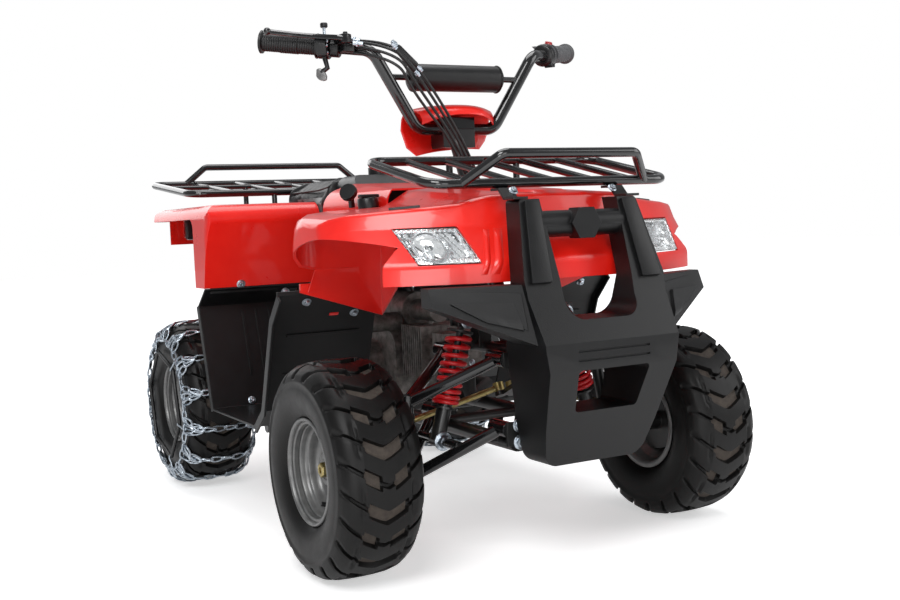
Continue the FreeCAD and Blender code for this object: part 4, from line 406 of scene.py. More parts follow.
def makeStage():
    world = bpy.data.worlds.new("studio")
    bpy.context.scene.world = world
    world.use_nodes = True
    tree = world.node_tree
    colour, seen = paleSurface(tree, (0.62, 0.63, 0.65, 1))
    background = tree.nodes["Background"]
    tree.links.new(colour.outputs[0], background.inputs["Color"])
    strength = addNode(tree, "MapRange", Value=seen.outputs[0], at3=0.5, at4=1.0)
    tree.links.new(strength.outputs["Result"], background.inputs["Strength"])
    bpy.ops.object.select_all(action="DESELECT")
    bpy.ops.mesh.primitive_plane_add(size=30, location=(0, 0, -0.0005))
    floor = bpy.context.object
    floor.name = "floor"
    material = bpy.data.materials.new("whitePaper")
    material.use_nodes = True
    tree = material.node_tree
    shader = tree.nodes["Principled BSDF"]
    shader.inputs["Base Color"].default_value = hexColour("#f4f4f4")
    shader.inputs["Roughness"].default_value = 0.9
    # the paper glows for the camera, and a little in reflections: less under the object, where the
    # shadow stays, and fully a metre and a half away from it
    path = addNode(tree, "LightPath")
    shine = addNode(tree, "Math", {"operation": "MULTIPLY"}, at0=path.outputs["Is Glossy Ray"], at1=0.25)
    seen = addNode(tree, "Math", {"operation": "MAXIMUM"}, at0=path.outputs["Is Camera Ray"],
                   at1=shine.outputs[0])
    place = addNode(tree, "TexCoord")
    reach = addNode(tree, "VectorMath", {"operation": "LENGTH"}, at0=place.outputs["Object"])
    glow = addNode(tree, "MapRange", Value=reach.outputs["Value"], at1=0.7, at2=1.6, at3=0.5, at4=1.0)
    amount = addNode(tree, "Math", {"operation": "MULTIPLY"}, at0=seen.outputs[0], at1=glow.outputs["Result"])
    shader.inputs["Emission Color"].default_value = (1, 1, 1, 1)
    tree.links.new(amount.outputs[0], shader.inputs["Emission Strength"])
    floor.data.materials.append(material)
    lamps = {
        "key": ((-2.2, -2.6, 3.0), 1.8, 84, (0, 0, 0.4)),
        "fill": ((2.8, -2.2, 1.8), 2.2, 38, (0, 0, 0.4)),
        "front": ((-0.4, -4.0, 1.0), 1.6, 18, (0, -0.4, 0.4)),
        "top": ((0.2, 0.4, 3.6), 2.4, 58, (0, 0, 0.4)),
        "rear": ((-0.5, 3.6, 2.0), 2.2, 26, (0, 0, 0.5)),
        "low": ((-1.9, -3.2, 0.35), 0.9, 15, (-0.3, -0.2, 0.4)),
    }
    for name, (place, size, power, aim) in lamps.items():
        data = bpy.data.lights.new(name, "AREA")
        data.size, data.energy = size, power
        lamp = bpy.data.objects.new(name, data)
        bpy.context.scene.collection.objects.link(lamp)
        lamp.location = place
        lamp.rotation_euler = (Vector(aim) - Vector(place)).to_track_quat("-Z", "Y").to_euler()


makeCamera()
makeStage()
bpy.context.scene.view_settings.view_transform = "Standard"

print("control cables")
# Each cable leaves the controls on the rider's right, bends in front of the pad and drops beside the
# column into the hood. The points are the route of the part's own cables.
cables = {
    "diameter": 0.0052,
    "routes": (
        ((-0.1985, -0.2456, 0.9009), (-0.155, -0.316, 0.893), (-0.098, -0.322, 0.838), (-0.012, -0.322, 0.704),
         (0.014, -0.3213, 0.6325)),
        ((-0.2042, -0.2525, 0.8977), (-0.155, -0.32, 0.886), (-0.1058, -0.322, 0.831), (-0.0198, -0.322, 0.704),
         (0.0062, -0.3213, 0.6325)),
        ((-0.208, -0.2556, 0.8895), (-0.155, -0.332, 0.873), (-0.1136, -0.322, 0.818), (-0.0276, -0.322, 0.704),
         (-0.0016, -0.3213, 0.6325)),
        ((-0.208, -0.2536, 0.8802), (-0.155, -0.336, 0.86), (-0.1214, -0.322, 0.805), (-0.0354, -0.322, 0.704),
         (-0.0094, -0.3213, 0.6325)),
    ),
    "lengths": (0.391, 0.381, 0.374, 0.365),
}


def makeCables():
    for k, (route, length) in enumerate(zip(cables["routes"], cables["lengths"])):
        name = "control_cable_" + "abcd"[k]
        curve = bpy.data.curves.new(name, "CURVE")
        curve.dimensions = "3D"
        spline = curve.splines.new("NURBS")
        spline.points.add(len(route) - 1)
        for point, place in zip(spline.points, route):
            point.co = (*place, 1)
        spline.order_u = 3
        spline.use_endpoint_u = True
        spline.resolution_u = 16
        curve.bevel_depth = cables["diameter"] / 2
        curve.bevel_resolution = 4
        curve.use_fill_caps = True
        curve.materials.append(softRubber)
        cable = bpy.data.objects.new(name, curve)
        bpy.context.scene.collection.objects.link(cable)
        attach(cable, "steering")
        if k == 0:
            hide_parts("control_cables")


print("tyres")
tyre = {
    "pitches": 22, "pocketDepth": 0.009, "grooveDepth": 0.0075, "sweep": 0.95, "sweepPower": 1.25,
    # half width and radius from the crown out over the shoulder and down to the bead
    "profile": ((0, 0.1775), (0.02, 0.1772), (0.038, 0.176), (0.052, 0.1728), (0.0625, 0.1665),
                (0.0685, 0.158), (0.0716, 0.1495), (0.0723, 0.1465), (0.0708, 0.144), (0.0722, 0.136),
                (0.0725, 0.126), (0.0705, 0.112), (0.066, 0.099), (0.0605, 0.0912), (0.0572, 0.0882),
                (0.0553, 0.0855), (0.0545, 0.079), (0.052, 0.0768)),
    "shoulder": 5,
    # where the tread's grid has its lines: in one pitch round the tyre, and from the middle out to the shoulder
    "pitchSteps": (0.0, 0.14, 0.26, 0.3, 0.41, 0.45, 0.55, 0.59, 0.7, 0.74, 0.86),
    "treadSteps": (0, 0.025, 0.045, 0.1, 0.14, 0.16, 0.24, 0.33, 0.415, 0.44, 0.485, 0.51, 0.545, 0.575, 0.63,
                   0.7, 0.78, 0.85, 0.92, 0.97, 1.0, 1.04, 1.08, 1.12),
    "places": {"front_tyre_right": ((-0.338, -0.435, 0.178), "front_wheel_right"),
               "front_tyre_left": ((0.338, -0.435, 0.178), "front_wheel_left"),
               "rear_tyre_right": ((-0.313, 0.435, 0.186), "rear_wheels"),
               "rear_tyre_left": ((0.313, 0.435, 0.186), "rear_wheels")},
}


# running lengths along a line of points
def runLengths(places):
    lengths = [0.0]
    for a, b in zip(places, places[1:]):
        lengths.append(lengths[-1] + (b - a).length)
    return lengths


# the point at a length along a line, and the stretch it lies on
def pointAlong(places, lengths, want):
    i = max(j for j in range(len(lengths) - 1) if lengths[j] <= want + 1e-9)
    share = (want - lengths[i]) / (lengths[i + 1] - lengths[i])
    return places[i].lerp(places[i + 1], share), i


# the profile at its steps and on down to the bead, as (half width, radius, share of the way out)
def tyreRows():
    profile = [Vector(p) for p in tyre["profile"]]
    lengths = runLengths(profile)
    shoulder = lengths[tyre["shoulder"]]
    rows = []
    for step in tyre["treadSteps"]:
        place = pointAlong(profile, lengths, step * shoulder)[0]
        rows.append((place.x, place.y, step))
    last = tyre["treadSteps"][-1] * shoulder
    return rows + [(p.x, p.y, length / shoulder) for p, length in zip(profile, lengths) if length > last]


# how deep the tread is cut, at a place along the swept pitch and at a share of the way out to the shoulder
def treadCut(pitch, along, out):
    if out > 1.1:
        return 0.0, 0
    even = pitch % 2 == 0
    fromGroove = abs(along - 0.5)
    pocket = out < 0.43 if even else 0.15 < out < 0.5
    half = 0.2 if pocket else 0.05 + 0.1 * max(out - 0.8, 0)
    depth = tyre["pocketDepth"] if pocket else tyre["grooveDepth"]
    cut = depth * min(max((half + 0.04 - fromGroove) / 0.04, 0.0), 1.0)
    # thin sipes beside each pocket's outer end
    if even and 0.54 < out < 0.58 and fromGroove > 0.08:
        cut = max(cut, tyre["grooveDepth"] * 0.5)
    fade = 1.0 if out < 1.0 else max(0.0, 1 - (out - 1.0) / 0.1)
    return cut * fade, 1 if pocket and cut > depth * 0.7 else 0


# made from rows of points, because no primitive holds the tread's swept blocks
def makeTyres():
    rows = tyreRows()
    rows = [(-x, r, out) for x, r, out in rows[:0:-1]] + rows
    steps, pitches, count = tyre["pitchSteps"], tyre["pitches"], len(rows)
    around = pitches * len(steps)
    points, dusty = [], []
    for k in range(around):
        pitch, along = k // len(steps), steps[k % len(steps)]
        for x, r, out in rows:
            cut, mark = treadCut(pitch, along, out)
            swept = pitch + along - tyre["sweep"] * min(out, 1.0) ** tyre["sweepPower"]
            angle = 2 * math.pi * swept / pitches
            points.append(Vector((x, -(r - cut) * math.sin(angle), (r - cut) * math.cos(angle))))
            dusty.append(mark)
    faces, marks = [], []
    for k in range(around):
        here, there = k * count, (k + 1) % around * count
        for i in range(count - 1):
            face = (here + i, here + i + 1, there + i + 1, there + i)
            faces.append(face)
            marks.append(1 if sum(dusty[j] for j in face) > 2 else 0)
        faces.append((here, there, there + count - 1, here + count - 1))
        marks.append(0)
    for name, (centre, body) in tyre["places"].items():
        part = meshPart([p + Vector(centre) for p in points], faces, marks)
        addPiece(name + "_tread", [part], [treadRubber, dustyRubber], body, (name,), sharp=50)


print("snow chains")
chain = {
    "centre": (0.313, 0.435, 0.186), "runs": 14, "wire": 0.0046, "linkLength": 0.034, "linkWidth": 0.0155,
    "sideRadius": 0.1465, "half": 0.0795, "roll": 24, "sideRoll": 42, "narrow": 0.28, "sideWidth": 0.9,
    "strapRadius": 0.0042, "strapCorners": 6, "strapCorner": 0.122, "branchTurn": 1.75, "sideSteps": 72,
    # a run's line over half the tread, as half width and radius
    "run": ((0.071, 0.166), (0.054, 0.1775), (0.03, 0.1815)), "crown": 0.182,
    # a branch from near the run's end to the side chain
    "branch": ((0.05, 0.1795), (0.0705, 0.169)),
    # a strap hook: steps outward along the radius and away from the wheel
    "hook": ((-0.004, 0.004), (0, 0.005), (0.012, 0.002), (0.026, 0), (0.029, -0.006)), "hookWire": 0.0019,
}


# one wire link lying flat: a long loop, narrow at one end
def linkForm(width):
    points = []
    for k in range(12):
        angle = 2 * math.pi * k / 12
        along = math.cos(angle) * (chain["linkLength"] - chain["wire"]) / 2
        aside = math.sin(angle) * (width - chain["wire"]) / 2 * (1.0 - chain["narrow"] * math.cos(angle))
        points.append((along, aside, 0))
    return tubePart(points, chain["wire"] / 2, 5, closed=True)


# copies of a link along a line, rolled to one side and the other by turns
def linkParts(link, line, outwardAt, roll):
    pitch = chain["linkLength"] - chain["wire"] * 2.1
    places = [Vector(p) for p in line]
    lengths = runLengths(places)
    count = max(1, round(lengths[-1] / pitch))
    parts = []
    for k in range(count):
        middle, i = pointAlong(places, lengths, lengths[-1] * (k + 0.5) / count)
        way = (places[i + 1] - places[i]).normalized()
        out = outwardAt(middle)
        out = (out - way * out.dot(way)).normalized()
        tilt = math.radians(roll if k % 2 else -roll)
        across = way.cross(out).normalized() * math.cos(tilt) + out * math.sin(tilt)
        lay = Matrix((way, across, way.cross(across))).transposed().to_4x4()
        parts.append(copyPart(link, Matrix.Translation(middle) @ lay))
    return parts


def makeSnowChain(side, name):
    centre = Vector((side * chain["centre"][0], *chain["centre"][1:]))
    half, radius = chain["half"], chain["sideRadius"]
    link, sideLink = linkForm(chain["linkWidth"]), linkForm(chain["linkWidth"] * chain["sideWidth"])

    def spoke(turn):
        return Vector((0, math.cos(turn), math.sin(turn)))

    def treadOut(middle):
        away = middle - centre
        return Vector((away.x * 0.6 if abs(away.x) > 0.05 else 0, away.y, away.z)).normalized()

    parts = []
    for k in range(chain["runs"]):
        angle = 2 * math.pi * (k + 0.5) / chain["runs"]
        out = spoke(angle)
        outer = ((half, radius), *chain["run"])
        rows = [(-x, r) for x, r in outer] + [(0, chain["crown"])] + list(outer[::-1])
        line = [centre + Vector((x, 0, 0)) + out * r for x, r in rows]
        parts += linkParts(link, line, treadOut, chain["roll"])
        # short branches spread from each run to the side chains
        for end in (-1, 1):
            for turn in (-1, 1):
                spread = spoke(angle + turn * chain["branchTurn"] / chain["runs"])
                ways = (out, (out + spread).normalized(), spread)
                line = [centre + Vector((end * x, 0, 0)) + way * r
                        for way, (x, r) in zip(ways, (*chain["branch"], (half, radius)))]
                parts += linkParts(link, line, treadOut, chain["roll"])
    steps = chain["sideSteps"]
    for x in (-half, half):
        ring = [centre + Vector((x, 0, 0)) + spoke(2 * math.pi * k / steps) * radius for k in range(steps + 1)]
        outward = Vector((1 if x > 0 else -1, 0, 0))
        parts += linkParts(sideLink, ring, lambda middle: outward, chain["sideRoll"])
    # hooks that hold the rubber strap to the outer side chain
    corners = []
    for k in range(chain["strapCorners"]):
        out = spoke(2 * math.pi * (k + 0.25) / chain["strapCorners"])
        corner = centre + Vector((side * (half + 0.004), 0, 0)) + out * chain["strapCorner"]
        corners.append(corner)
        hook = [corner + out * along + Vector((side * away, 0, 0)) for along, away in chain["hook"]]
        parts.append(tubePart(hook, chain["hookWire"], 6))
    for form in (link, sideLink):
        bpy.data.objects.remove(form)
    addPiece("snow_chain_links_" + name, parts, [galvanisedWire], "rear_wheels", ("snow_chain_" + name,),
             sharp=60)
    line = [a.lerp(b, t) for a, b in zip(corners, corners[1:] + corners[:1]) for t in (0.03, 0.97)]
    strap = tubePart(line, chain["strapRadius"], 8, closed=True)
    addPiece("chain_strap_" + name, [strap], [softRubber], "rear_wheels")


boltForm = makeBoltForm()
makeCables()
makeTyres()
for side, name in ((-1, "right"), (1, "left")):
    makeSnowChain(side, name)

print("headlamps")
lamp = {
    "inner": 0.168, "outer": 0.274, "low": 0.504, "high": 0.562, "innerLean": 0.0151, "outerLean": 0.0181,
    "margin": 0.0016, "lens": 0.003, "gap": 0.0075, "depth": 0.031, "lensCells": (20, 10), "cells": (64, 34),
    "bowl": (0.229, 0.530), "bowlRadius": 0.0235, "bowlDepth": 0.019, "ribs": 9,
    "bulb": ((0, 0), (0.001, 0.004), (0.006, 0.0055), (0.02, 0.0055), (0.02, 0)),
}


# a grid of points over one lamp's face, each found on the CAD lamp and pushed in by a depth that varies
def lampGrid(side, cells, surface, depthAt):
    rows = []
    for j in range(cells[1] + 1):
        rise = j / cells[1]
        inner = lamp["inner"] + lamp["innerLean"] * rise + lamp["margin"]
        outer = lamp["outer"] - lamp["outerLean"] * (1 - rise) - lamp["margin"]
        z = lamp["low"] + lamp["margin"] + (lamp["high"] - lamp["low"] - 2 * lamp["margin"]) * rise
        row = []
        for i in range(cells[0] + 1):
            x = side * (inner + (outer - inner) * i / cells[0])
            found = surface.ray_cast(Vector((x, -1, z)), Vector((0, 1, 0)))[0]
            row.append(Vector((x, found.y + depthAt(abs(x), z, i / cells[0], rise), z)))
        rows.append(row)
    return rows


# how far a place lies from the bowl's middle
def fromBowl(x, z):
    return math.hypot(x - lamp["bowl"][0], z - lamp["bowl"][1])


# reflector: a bowl for the bulb, stepped facets beside it and a row of square pads round the border
def reflectorDepth(x, z, share, rise):
    away = fromBowl(x, z) / lamp["bowlRadius"]
    if away < 1:
        return lamp["gap"] + lamp["bowlDepth"] * math.sqrt(1 - away * away)
    if away < 1.12:
        return lamp["gap"] - 0.002
    if share < 0.09 or share > 0.95 or rise < 0.12 or rise > 0.88:
        pad = (math.floor(share * 26) + math.floor(rise * 9)) % 2
        return lamp["gap"] - 0.003 + 0.002 * pad
    return lamp["gap"] + 0.009 * ((share * lamp["ribs"] - rise * 1.5) % 1.0)


def makeHeadlamps():
    surface = castSurface("headlights")

    def grid(cells, depthAt):
        return lampGrid(side, cells, surface, depthAt)

    lenses, inside = [], []
    for side in (-1, 1):
        lenses.append(shellPart(grid(lamp["lensCells"], lambda *at: 0.0),
                                grid(lamp["lensCells"], lambda *at: lamp["lens"])))
        back = grid(lamp["cells"], lambda *at: lamp["depth"])
        inside.append(shellPart(grid(lamp["cells"], reflectorDepth), back, 0, 1))
        seat = grid(lamp["cells"], lambda *at: lamp["gap"])
        middle = min((p for row in seat for p in row), key=lambda p: fromBowl(abs(p.x), p.z))
        inside.append(turnPart(lamp["bulb"], middle - Vector((0, 0.002, 0)), (0, 1, 0), 20, 2))
    addPiece("headlight_lenses", lenses, [clearPolycarbonate], "chassis", ("headlights",))
    addPiece("headlight_reflectors", inside, [brightChrome, blackNylon, clearPolycarbonate], "chassis",
             sharp=20)


print("wheel rims")
rim = {
    "sides": 96, "halfDepth": 0.061, "boltCircle": 0.037, "boltRadius": 0.0068, "boltSeat": 0.0112,
    # valve: its turn, how far out it starts, its lean, and the radii of stem and cap
    "valve": {"turn": 235, "out": 0.0675, "start": 0.022, "lean": (0.024, 0.008), "radii": (0.0052, 0.0038)},
    # distance out from the wheel's middle and radius, from the rolled lip in over the steps to the disc
    "face": ((0.056, 0.085), (0.0565, 0.0868), (0.0582, 0.0878), (0.0604, 0.0876), (0.0619, 0.0862),
             (0.0622, 0.0842), (0.0612, 0.0825), (0.0592, 0.0814), (0.0555, 0.0808), (0.0505, 0.0798),
             (0.0472, 0.0782), (0.0452, 0.0762), (0.0442, 0.0744), (0.0428, 0.0736), (0.0372, 0.0733),
             (0.034, 0.0722), (0.0322, 0.0704), (0.0314, 0.0688), (0.0298, 0.068), (0.0232, 0.0674),
             (0.0182, 0.0664), (0.0148, 0.0645), (0.0126, 0.0618), (0.0112, 0.059), (0.0106, 0.056),
             (0.0088, 0.054), (0.007, 0.0522), (0.0066, 0.049)),
    "hub": ((0.0066, 0.0455), (0.0074, 0.0435), (0.0104, 0.0425), (0.0112, 0.041), (0.0112, 0.0332),
            (0.0124, 0.0316), (0.0148, 0.0292), (0.0262, 0.0272), (0.029, 0.0262), (0.0304, 0.0245),
            (0.0304, 0.0175), (0.0288, 0.016), (0.0288, 0.0104), (-0.0226, 0.0104), (-0.0226, 0.05),
            (-0.0232, 0.0512), (-0.0232, 0.0534), (-0.0222, 0.054), (0.0022, 0.054)),
    "disc": ((0.0066, 0.0455), (0.0078, 0.0435), (0.0105, 0.042), (0.0105, 0.0255), (0.0098, 0.0235),
             (0.0072, 0.0228), (0.0026, 0.0228)),
    "back": ((0.0028, 0.0596), (-0.0206, 0.06), (-0.0238, 0.0618), (-0.0322, 0.0712), (-0.0352, 0.073),
             (-0.0552, 0.0734), (-0.0582, 0.0748), (-0.0602, 0.0778), (-0.061, 0.084), (-0.0602, 0.086),
             (-0.0584, 0.0862), (-0.0575, 0.085), (-0.057, 0.0772), (-0.0548, 0.076), (-0.0305, 0.0755),
             (-0.0183, 0.063), (0.0122, 0.063), (0.0268, 0.0755), (0.0535, 0.0762), (0.0552, 0.0776),
             (0.056, 0.085)),
    "axleNut": ((0.0285, 0.0104), (0.0285, 0.0125), (0.0375, 0.0125), (0.039, 0.0105), (0.039, 0.0055),
                (0.0352, 0.0055), (0.0352, 0)),
    # piece: its body, its sides and its middle
    "wheels": {"front_rim_right": ("front_wheel_right", (-1,), "hub"),
               "front_rim_left": ("front_wheel_left", (1,), "hub"),
               "rear_rims": ("rear_wheels", (-1, 1), "disc")},
}


def makeRims():
    valve = rim["valve"]
    for name, (body, sides, middle) in rim["wheels"].items():
        low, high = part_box(name)
        parts = []
        for side in sides:
            half = max(abs(low[0]), abs(high[0])) - rim["halfDepth"]
            centre = Vector((side * half, (low[1] + high[1]) / 2, (low[2] + high[2]) / 2))
            parts.append(turnPart(rim["face"] + rim[middle] + rim["back"], centre, (side, 0, 0), rim["sides"]))
            turn = math.radians(valve["turn"])
            out = Vector((0, math.cos(turn), math.sin(turn)))
            foot = centre + Vector((side * valve["start"], 0, 0)) + out * valve["out"]
            tip = foot + Vector((side * valve["lean"][0], 0, 0)) - out * valve["lean"][1]
            parts += [tubePart([foot, foot.lerp(tip, 0.3), tip], valve["radii"][0], 12, index=1),
                      tubePart([tip, tip + (tip - foot) * 0.3], valve["radii"][1], 10, index=1)]
            if middle == "hub":
                for k in range(4):
                    angle = math.pi / 2 * (k + 0.5)
                    out = Vector((0, math.cos(angle), math.sin(angle)))
                    place = centre + Vector((side * rim["boltSeat"], 0, 0)) + out * rim["boltCircle"]
                    parts.append(boltPart(place, (side, 0, 0), rim["boltRadius"], 2))
                parts.append(turnPart(rim["axleNut"], centre, (side, 0, 0), 6, 3))
        addPiece(name + "_pressed", parts, [silverPaint, softRubber, galvanisedWire, yellowZinc], body, (name,),
                 sharp=34)


print("springs")
springs = {
    "wire": 0.0078, "outer": 0.0475, "turns": 10, "steps": 18, "crowding": 1.28,
    # foot and head of each unit, and the shares of that line between which its coil lies
    "front": ((0.160, -0.435, 0.200), (0.102, -0.435, 0.400)), "rear": ((0, 0.348, 0.238), (0, 0.190, 0.520)),
    "lowShare": 0.285, "highShare": 0.895,
}


def makeSprings():
    parts = []
    mirrored = [(-x, y, z) for x, y, z in springs["front"]]
    wire, middle = springs["wire"] / 2, springs["outer"] / 2 - springs["wire"] / 2
    for low, high in (springs["front"], mirrored, springs["rear"]):
        low, high = Vector(low), Vector(high)
        way = (high - low).normalized()
        aside = way.orthogonal().normalized()
        other = way.cross(aside)
        start = low.lerp(high, springs["lowShare"]) + way * wire
        run = (low.lerp(high, springs["highShare"]) - start).length - wire
        count = springs["turns"] * springs["steps"]
        points = []
        for k in range(count + 1):
            angle = 2 * math.pi * k / springs["steps"]
            rise = run * (k / count) ** springs["crowding"]
            points.append(start + way * rise + (aside * math.cos(angle) + other * math.sin(angle)) * middle)
        parts.append(tubePart(points, wire, 10))
    addPiece("spring_coils", parts, [redPowderCoat], "chassis", ("springs",))


print("handlebar controls")
bar = {
    # on the rider's left: the grip's inner and outer end and the bar's bend; radii of the tube and of the pods
    "inner": (0.2481, -0.2084, 0.8953), "outer": (0.334, -0.144, 0.910), "bend": (0.170, -0.267, 0.882),
    "tube": 0.0112, "pod": 0.022, "collarEdge": 0.0016,
    # clear of the grip's flange, and from there to the lever's clamp
    "start": 0.001, "clamp": 0.0236,
}
grip = {
    "ribs": 22, "radius": 0.0165, "ribDepth": 0.0012, "foot": 0.005, "ends": 0.012,
    # the middle ribs stand a little higher
    "high": (6, 15), "rise": 0.0008, "ribShares": (0.25, 0.7, 0.92),
    # from the inner end and radius, then from the outer end and radius
    "flange": ((0, 0.0215), (0.0012, 0.0225), (0.003, 0.0222), (0.0045, 0.018)),
    "end": ((0.0065, 0.0165), (0.005, 0.0205), (0.0015, 0.0208), (0, 0.0185), (0, 0.006), (0.002, 0)),
}
# places in threes are steps inward along the bar, ahead and up, and corners in pairs are steps ahead and up
throttle = {
    "collar": 0.0216, "lidAt": (0, 0.018, -0.004), "lidHalf": 0.0105, "lidRound": 0.002,
    "lid": ((-0.017, -0.012), (0.012, -0.015), (0.02, 0.004), (0.012, 0.017), (-0.014, 0.015)),
    "screw": 0.0024, "screwShare": 0.62,
    # thumb paddle: its arm's root, knee, elbow and end, then the pad, whose corners are steps along and up
    "root": (0, 0.004, -0.01), "knee": (0, 0.004, -0.022), "elbow": (0.004, 0, -0.016),
    "end": (-0.012, 0, -0.013), "overlap": (0, 0, 0.004), "arm": 0.0048,
    "padAt": (0, 0.004, 0), "padLean": 0.25, "padDepth": 0.007, "padRound": 0.0028,
    "pad": ((-0.0105, -0.004), (-0.0075, -0.0095), (0.0, -0.0115), (0.0075, -0.0095), (0.0105, -0.002),
            (0.0085, 0.007), (0.002, 0.0115), (-0.006, 0.0095)),
    "studShare": 0.9, "studLength": 0.017, "stud": 0.0028,
    "cap": ((0.014, 0), (0.014, 0.0058), (0.0155, 0.0068), (0.021, 0.0068), (0.0225, 0.0055), (0.0225, 0)),
}
lever = {
    "collar": 0.017, "collarShare": 0.8, "reach": (0, -0.044, 0.009),
    # perch and its switch, seen from above: steps ahead and along
    "perch": ((0.008, -0.012), (0.03, -0.01), (0.05, -0.009), (0.055, 0.0), (0.05, 0.009), (0.028, 0.013),
              (0.008, 0.012)), "perchFoot": 0.001, "perchDepth": 0.016, "perchRound": 0.0028,
    "switch": ((0.012, 0), (0.034, 0.0), (0.034, 0.02), (0.012, 0.024)), "switchFoot": -0.011,
    "switchDepth": 0.014, "switchRound": 0.0025,
    "capBolts": (-0.005, 0.005), "capBoltShare": 0.72, "capBoltUp": 0.004, "capBolt": 0.0026,
    "pin": 0.0045, "pinUp": 0.0075,
    # blade, seen from above: steps outward along the bar from its pin, and ahead
    "blade": ((-0.012, -0.008), (0.0, 0.0065), (0.018, 0.0075), (0.035, 0.004), (0.06, 0.0015), (0.085, 0.002),
              (0.108, 0.0055), (0.144, 0.012), (0.144, 0.0065), (0.108, -0.001), (0.085, -0.0055),
              (0.06, -0.0065), (0.035, -0.006), (0.012, -0.0085)),
    "bladeFoot": -0.004, "bladeDepth": 0.009, "bladeRound": 0.0026, "ballAt": (-0.147, 0.0105, 0.0005),
    "ball": 0.0068,
    "adjusterAt": (0.012, 0.036, 0.009), "adjusterStep": (0, 0.012, -0.008), "stem": 0.0038,
    "stemLength": 0.018, "nut": ((0.006, 0), (0.006, 0.0062), (0.0095, 0.0062), (0.0095, 0)),
}
switches = {
    # along the bar, and out from the pod's radius
    "body": ((0, -0.002), (0.0015, 0), (0.0135, 0), (0.0145, -0.0012), (0.0175, -0.0012), (0.0185, 0),
             (0.032, 0), (0.0345, -0.0015), (0.036, -0.004)),
    "ring": ((0.0142, -0.001), (0.0148, 0.0006), (0.0172, 0.0006), (0.0178, -0.001)),
    "buttonAt": (0.009, 0.004, 0.020), "buttonLean": 0.3,
    "button": ((0, 0), (0, 0.0075), (0.005, 0.0075), (0.0065, 0.006), (0.0065, 0)),
    "slideAlong": 0.026, "slideShare": 0.62, "slideDepth": 0.006, "slideRound": 0.001,
    "slide": ((-0.005, -0.004), (0.005, -0.004), (0.005, 0.004), (-0.005, 0.004)),
    "toggleAt": (0.026, 0.006, -0.018), "toggleDepth": 0.007, "toggleRound": 0.0012,
    "toggle": ((-0.004, -0.004), (0.012, -0.004), (0.017, 0.0), (0.012, 0.004), (-0.004, 0.004)),
}
up = Vector((0, 0, 1))


# the bar on one side: the grip's inner and outer end, the way in along the tube, and the way ahead
def barLine(side):
    inner, outer, bend = (Vector((side * bar[k][0], *bar[k][1:])) for k in ("inner", "outer", "bend"))
    way = (bend - outer).normalized()
    ahead = up.cross(way).normalized()
    return inner, outer, way, ahead if ahead.y < 0 else -ahead


def stepFrom(place, way, ahead, steps):
    return place + way * steps[0] + ahead * steps[1] + up * steps[2]


def collarPart(foot, way, length, radius):
    edge, bore = bar["collarEdge"], bar["tube"]
    rows = ((0, bore), (0, radius - edge), (edge, radius), (length - edge, radius), (length, radius - edge),
            (length, bore))
    return turnPart(rows, foot, way, 40)


def makeGrips():
    parts = []
    for index, side in enumerate((-1, 1)):
        inner, outer, way = barLine(side)[:3]
        length = (outer - inner).length
        rows = [(0, bar["tube"]), *grip["flange"]]
        pitch = (length - grip["ends"]) / grip["ribs"]
        first, second, third = (pitch * share for share in grip["ribShares"])
        for k in range(grip["ribs"]):
            foot = grip["foot"] + pitch * k
            ridge = grip["radius"] + (grip["rise"] if grip["high"][0] < k < grip["high"][1] else 0)
            dip = ridge - grip["ribDepth"]
            rows += [(foot, dip), (foot + first, ridge), (foot + second, ridge), (foot + third, dip)]
        rows += [(length - back, radius) for back, radius in grip["end"]]
        parts.append(turnPart(rows, inner, -way, 40, index))
    addPiece("grip_sleeves", parts, [softRubber, greyRubber], "steering", ("grips",), sharp=50)


def makeThrottle():
    inner, _, way, ahead = barLine(-1)
    foot = inner + way * bar["start"]
    middle = foot + way * throttle["collar"] / 2
    # housing in front of the clamp, with its lid and screws
    lid, half = stepFrom(middle, way, ahead, throttle["lidAt"]), throttle["lidHalf"]
    outline = [stepFrom(lid, way, ahead, (-half, a, b)) for a, b in throttle["lid"]]
    parts = [collarPart(foot, way, throttle["collar"], bar["pod"]),
             prismPart(outline, way * half * 2, throttle["lidRound"])]
    for a, b in throttle["lid"][1:4]:
        share = throttle["screwShare"]
        place = stepFrom(lid, way, ahead, (half, a * share, b * share))
        parts.append(boltPart(place, way, throttle["screw"], 1))
    # thumb paddle: a cranked arm with a broad pad at its end, below the grip
    root, knee = (stepFrom(middle, way, ahead, throttle[k]) for k in ("root", "knee"))
    elbow = stepFrom(knee, way, ahead, throttle["elbow"])
    end = stepFrom(elbow, way, ahead, throttle["end"])
    arm = [root, knee, elbow, stepFrom(end, way, ahead, throttle["overlap"])]
    parts.append(tubePart(arm, throttle["arm"], 12))
    pad = stepFrom(end, way, ahead, throttle["padAt"])
    outline = [stepFrom(pad, way, ahead, (a - throttle["padLean"] * b, 0, b)) for a, b in throttle["pad"]]
    parts.append(prismPart(outline, -ahead * throttle["padDepth"], throttle["padRound"], 2))
    # kill switch stud on top
    stud = middle + up * bar["pod"] * throttle["studShare"]
    parts += [tubePart([stud, stud + up * throttle["studLength"]], throttle["stud"], 10, index=1),
              turnPart(throttle["cap"], stud, up, 20)]
    addPiece("throttle_housing", parts, [blackNylon, galvanisedWire, silverPaint], "steering",
             ("throttle_box",))


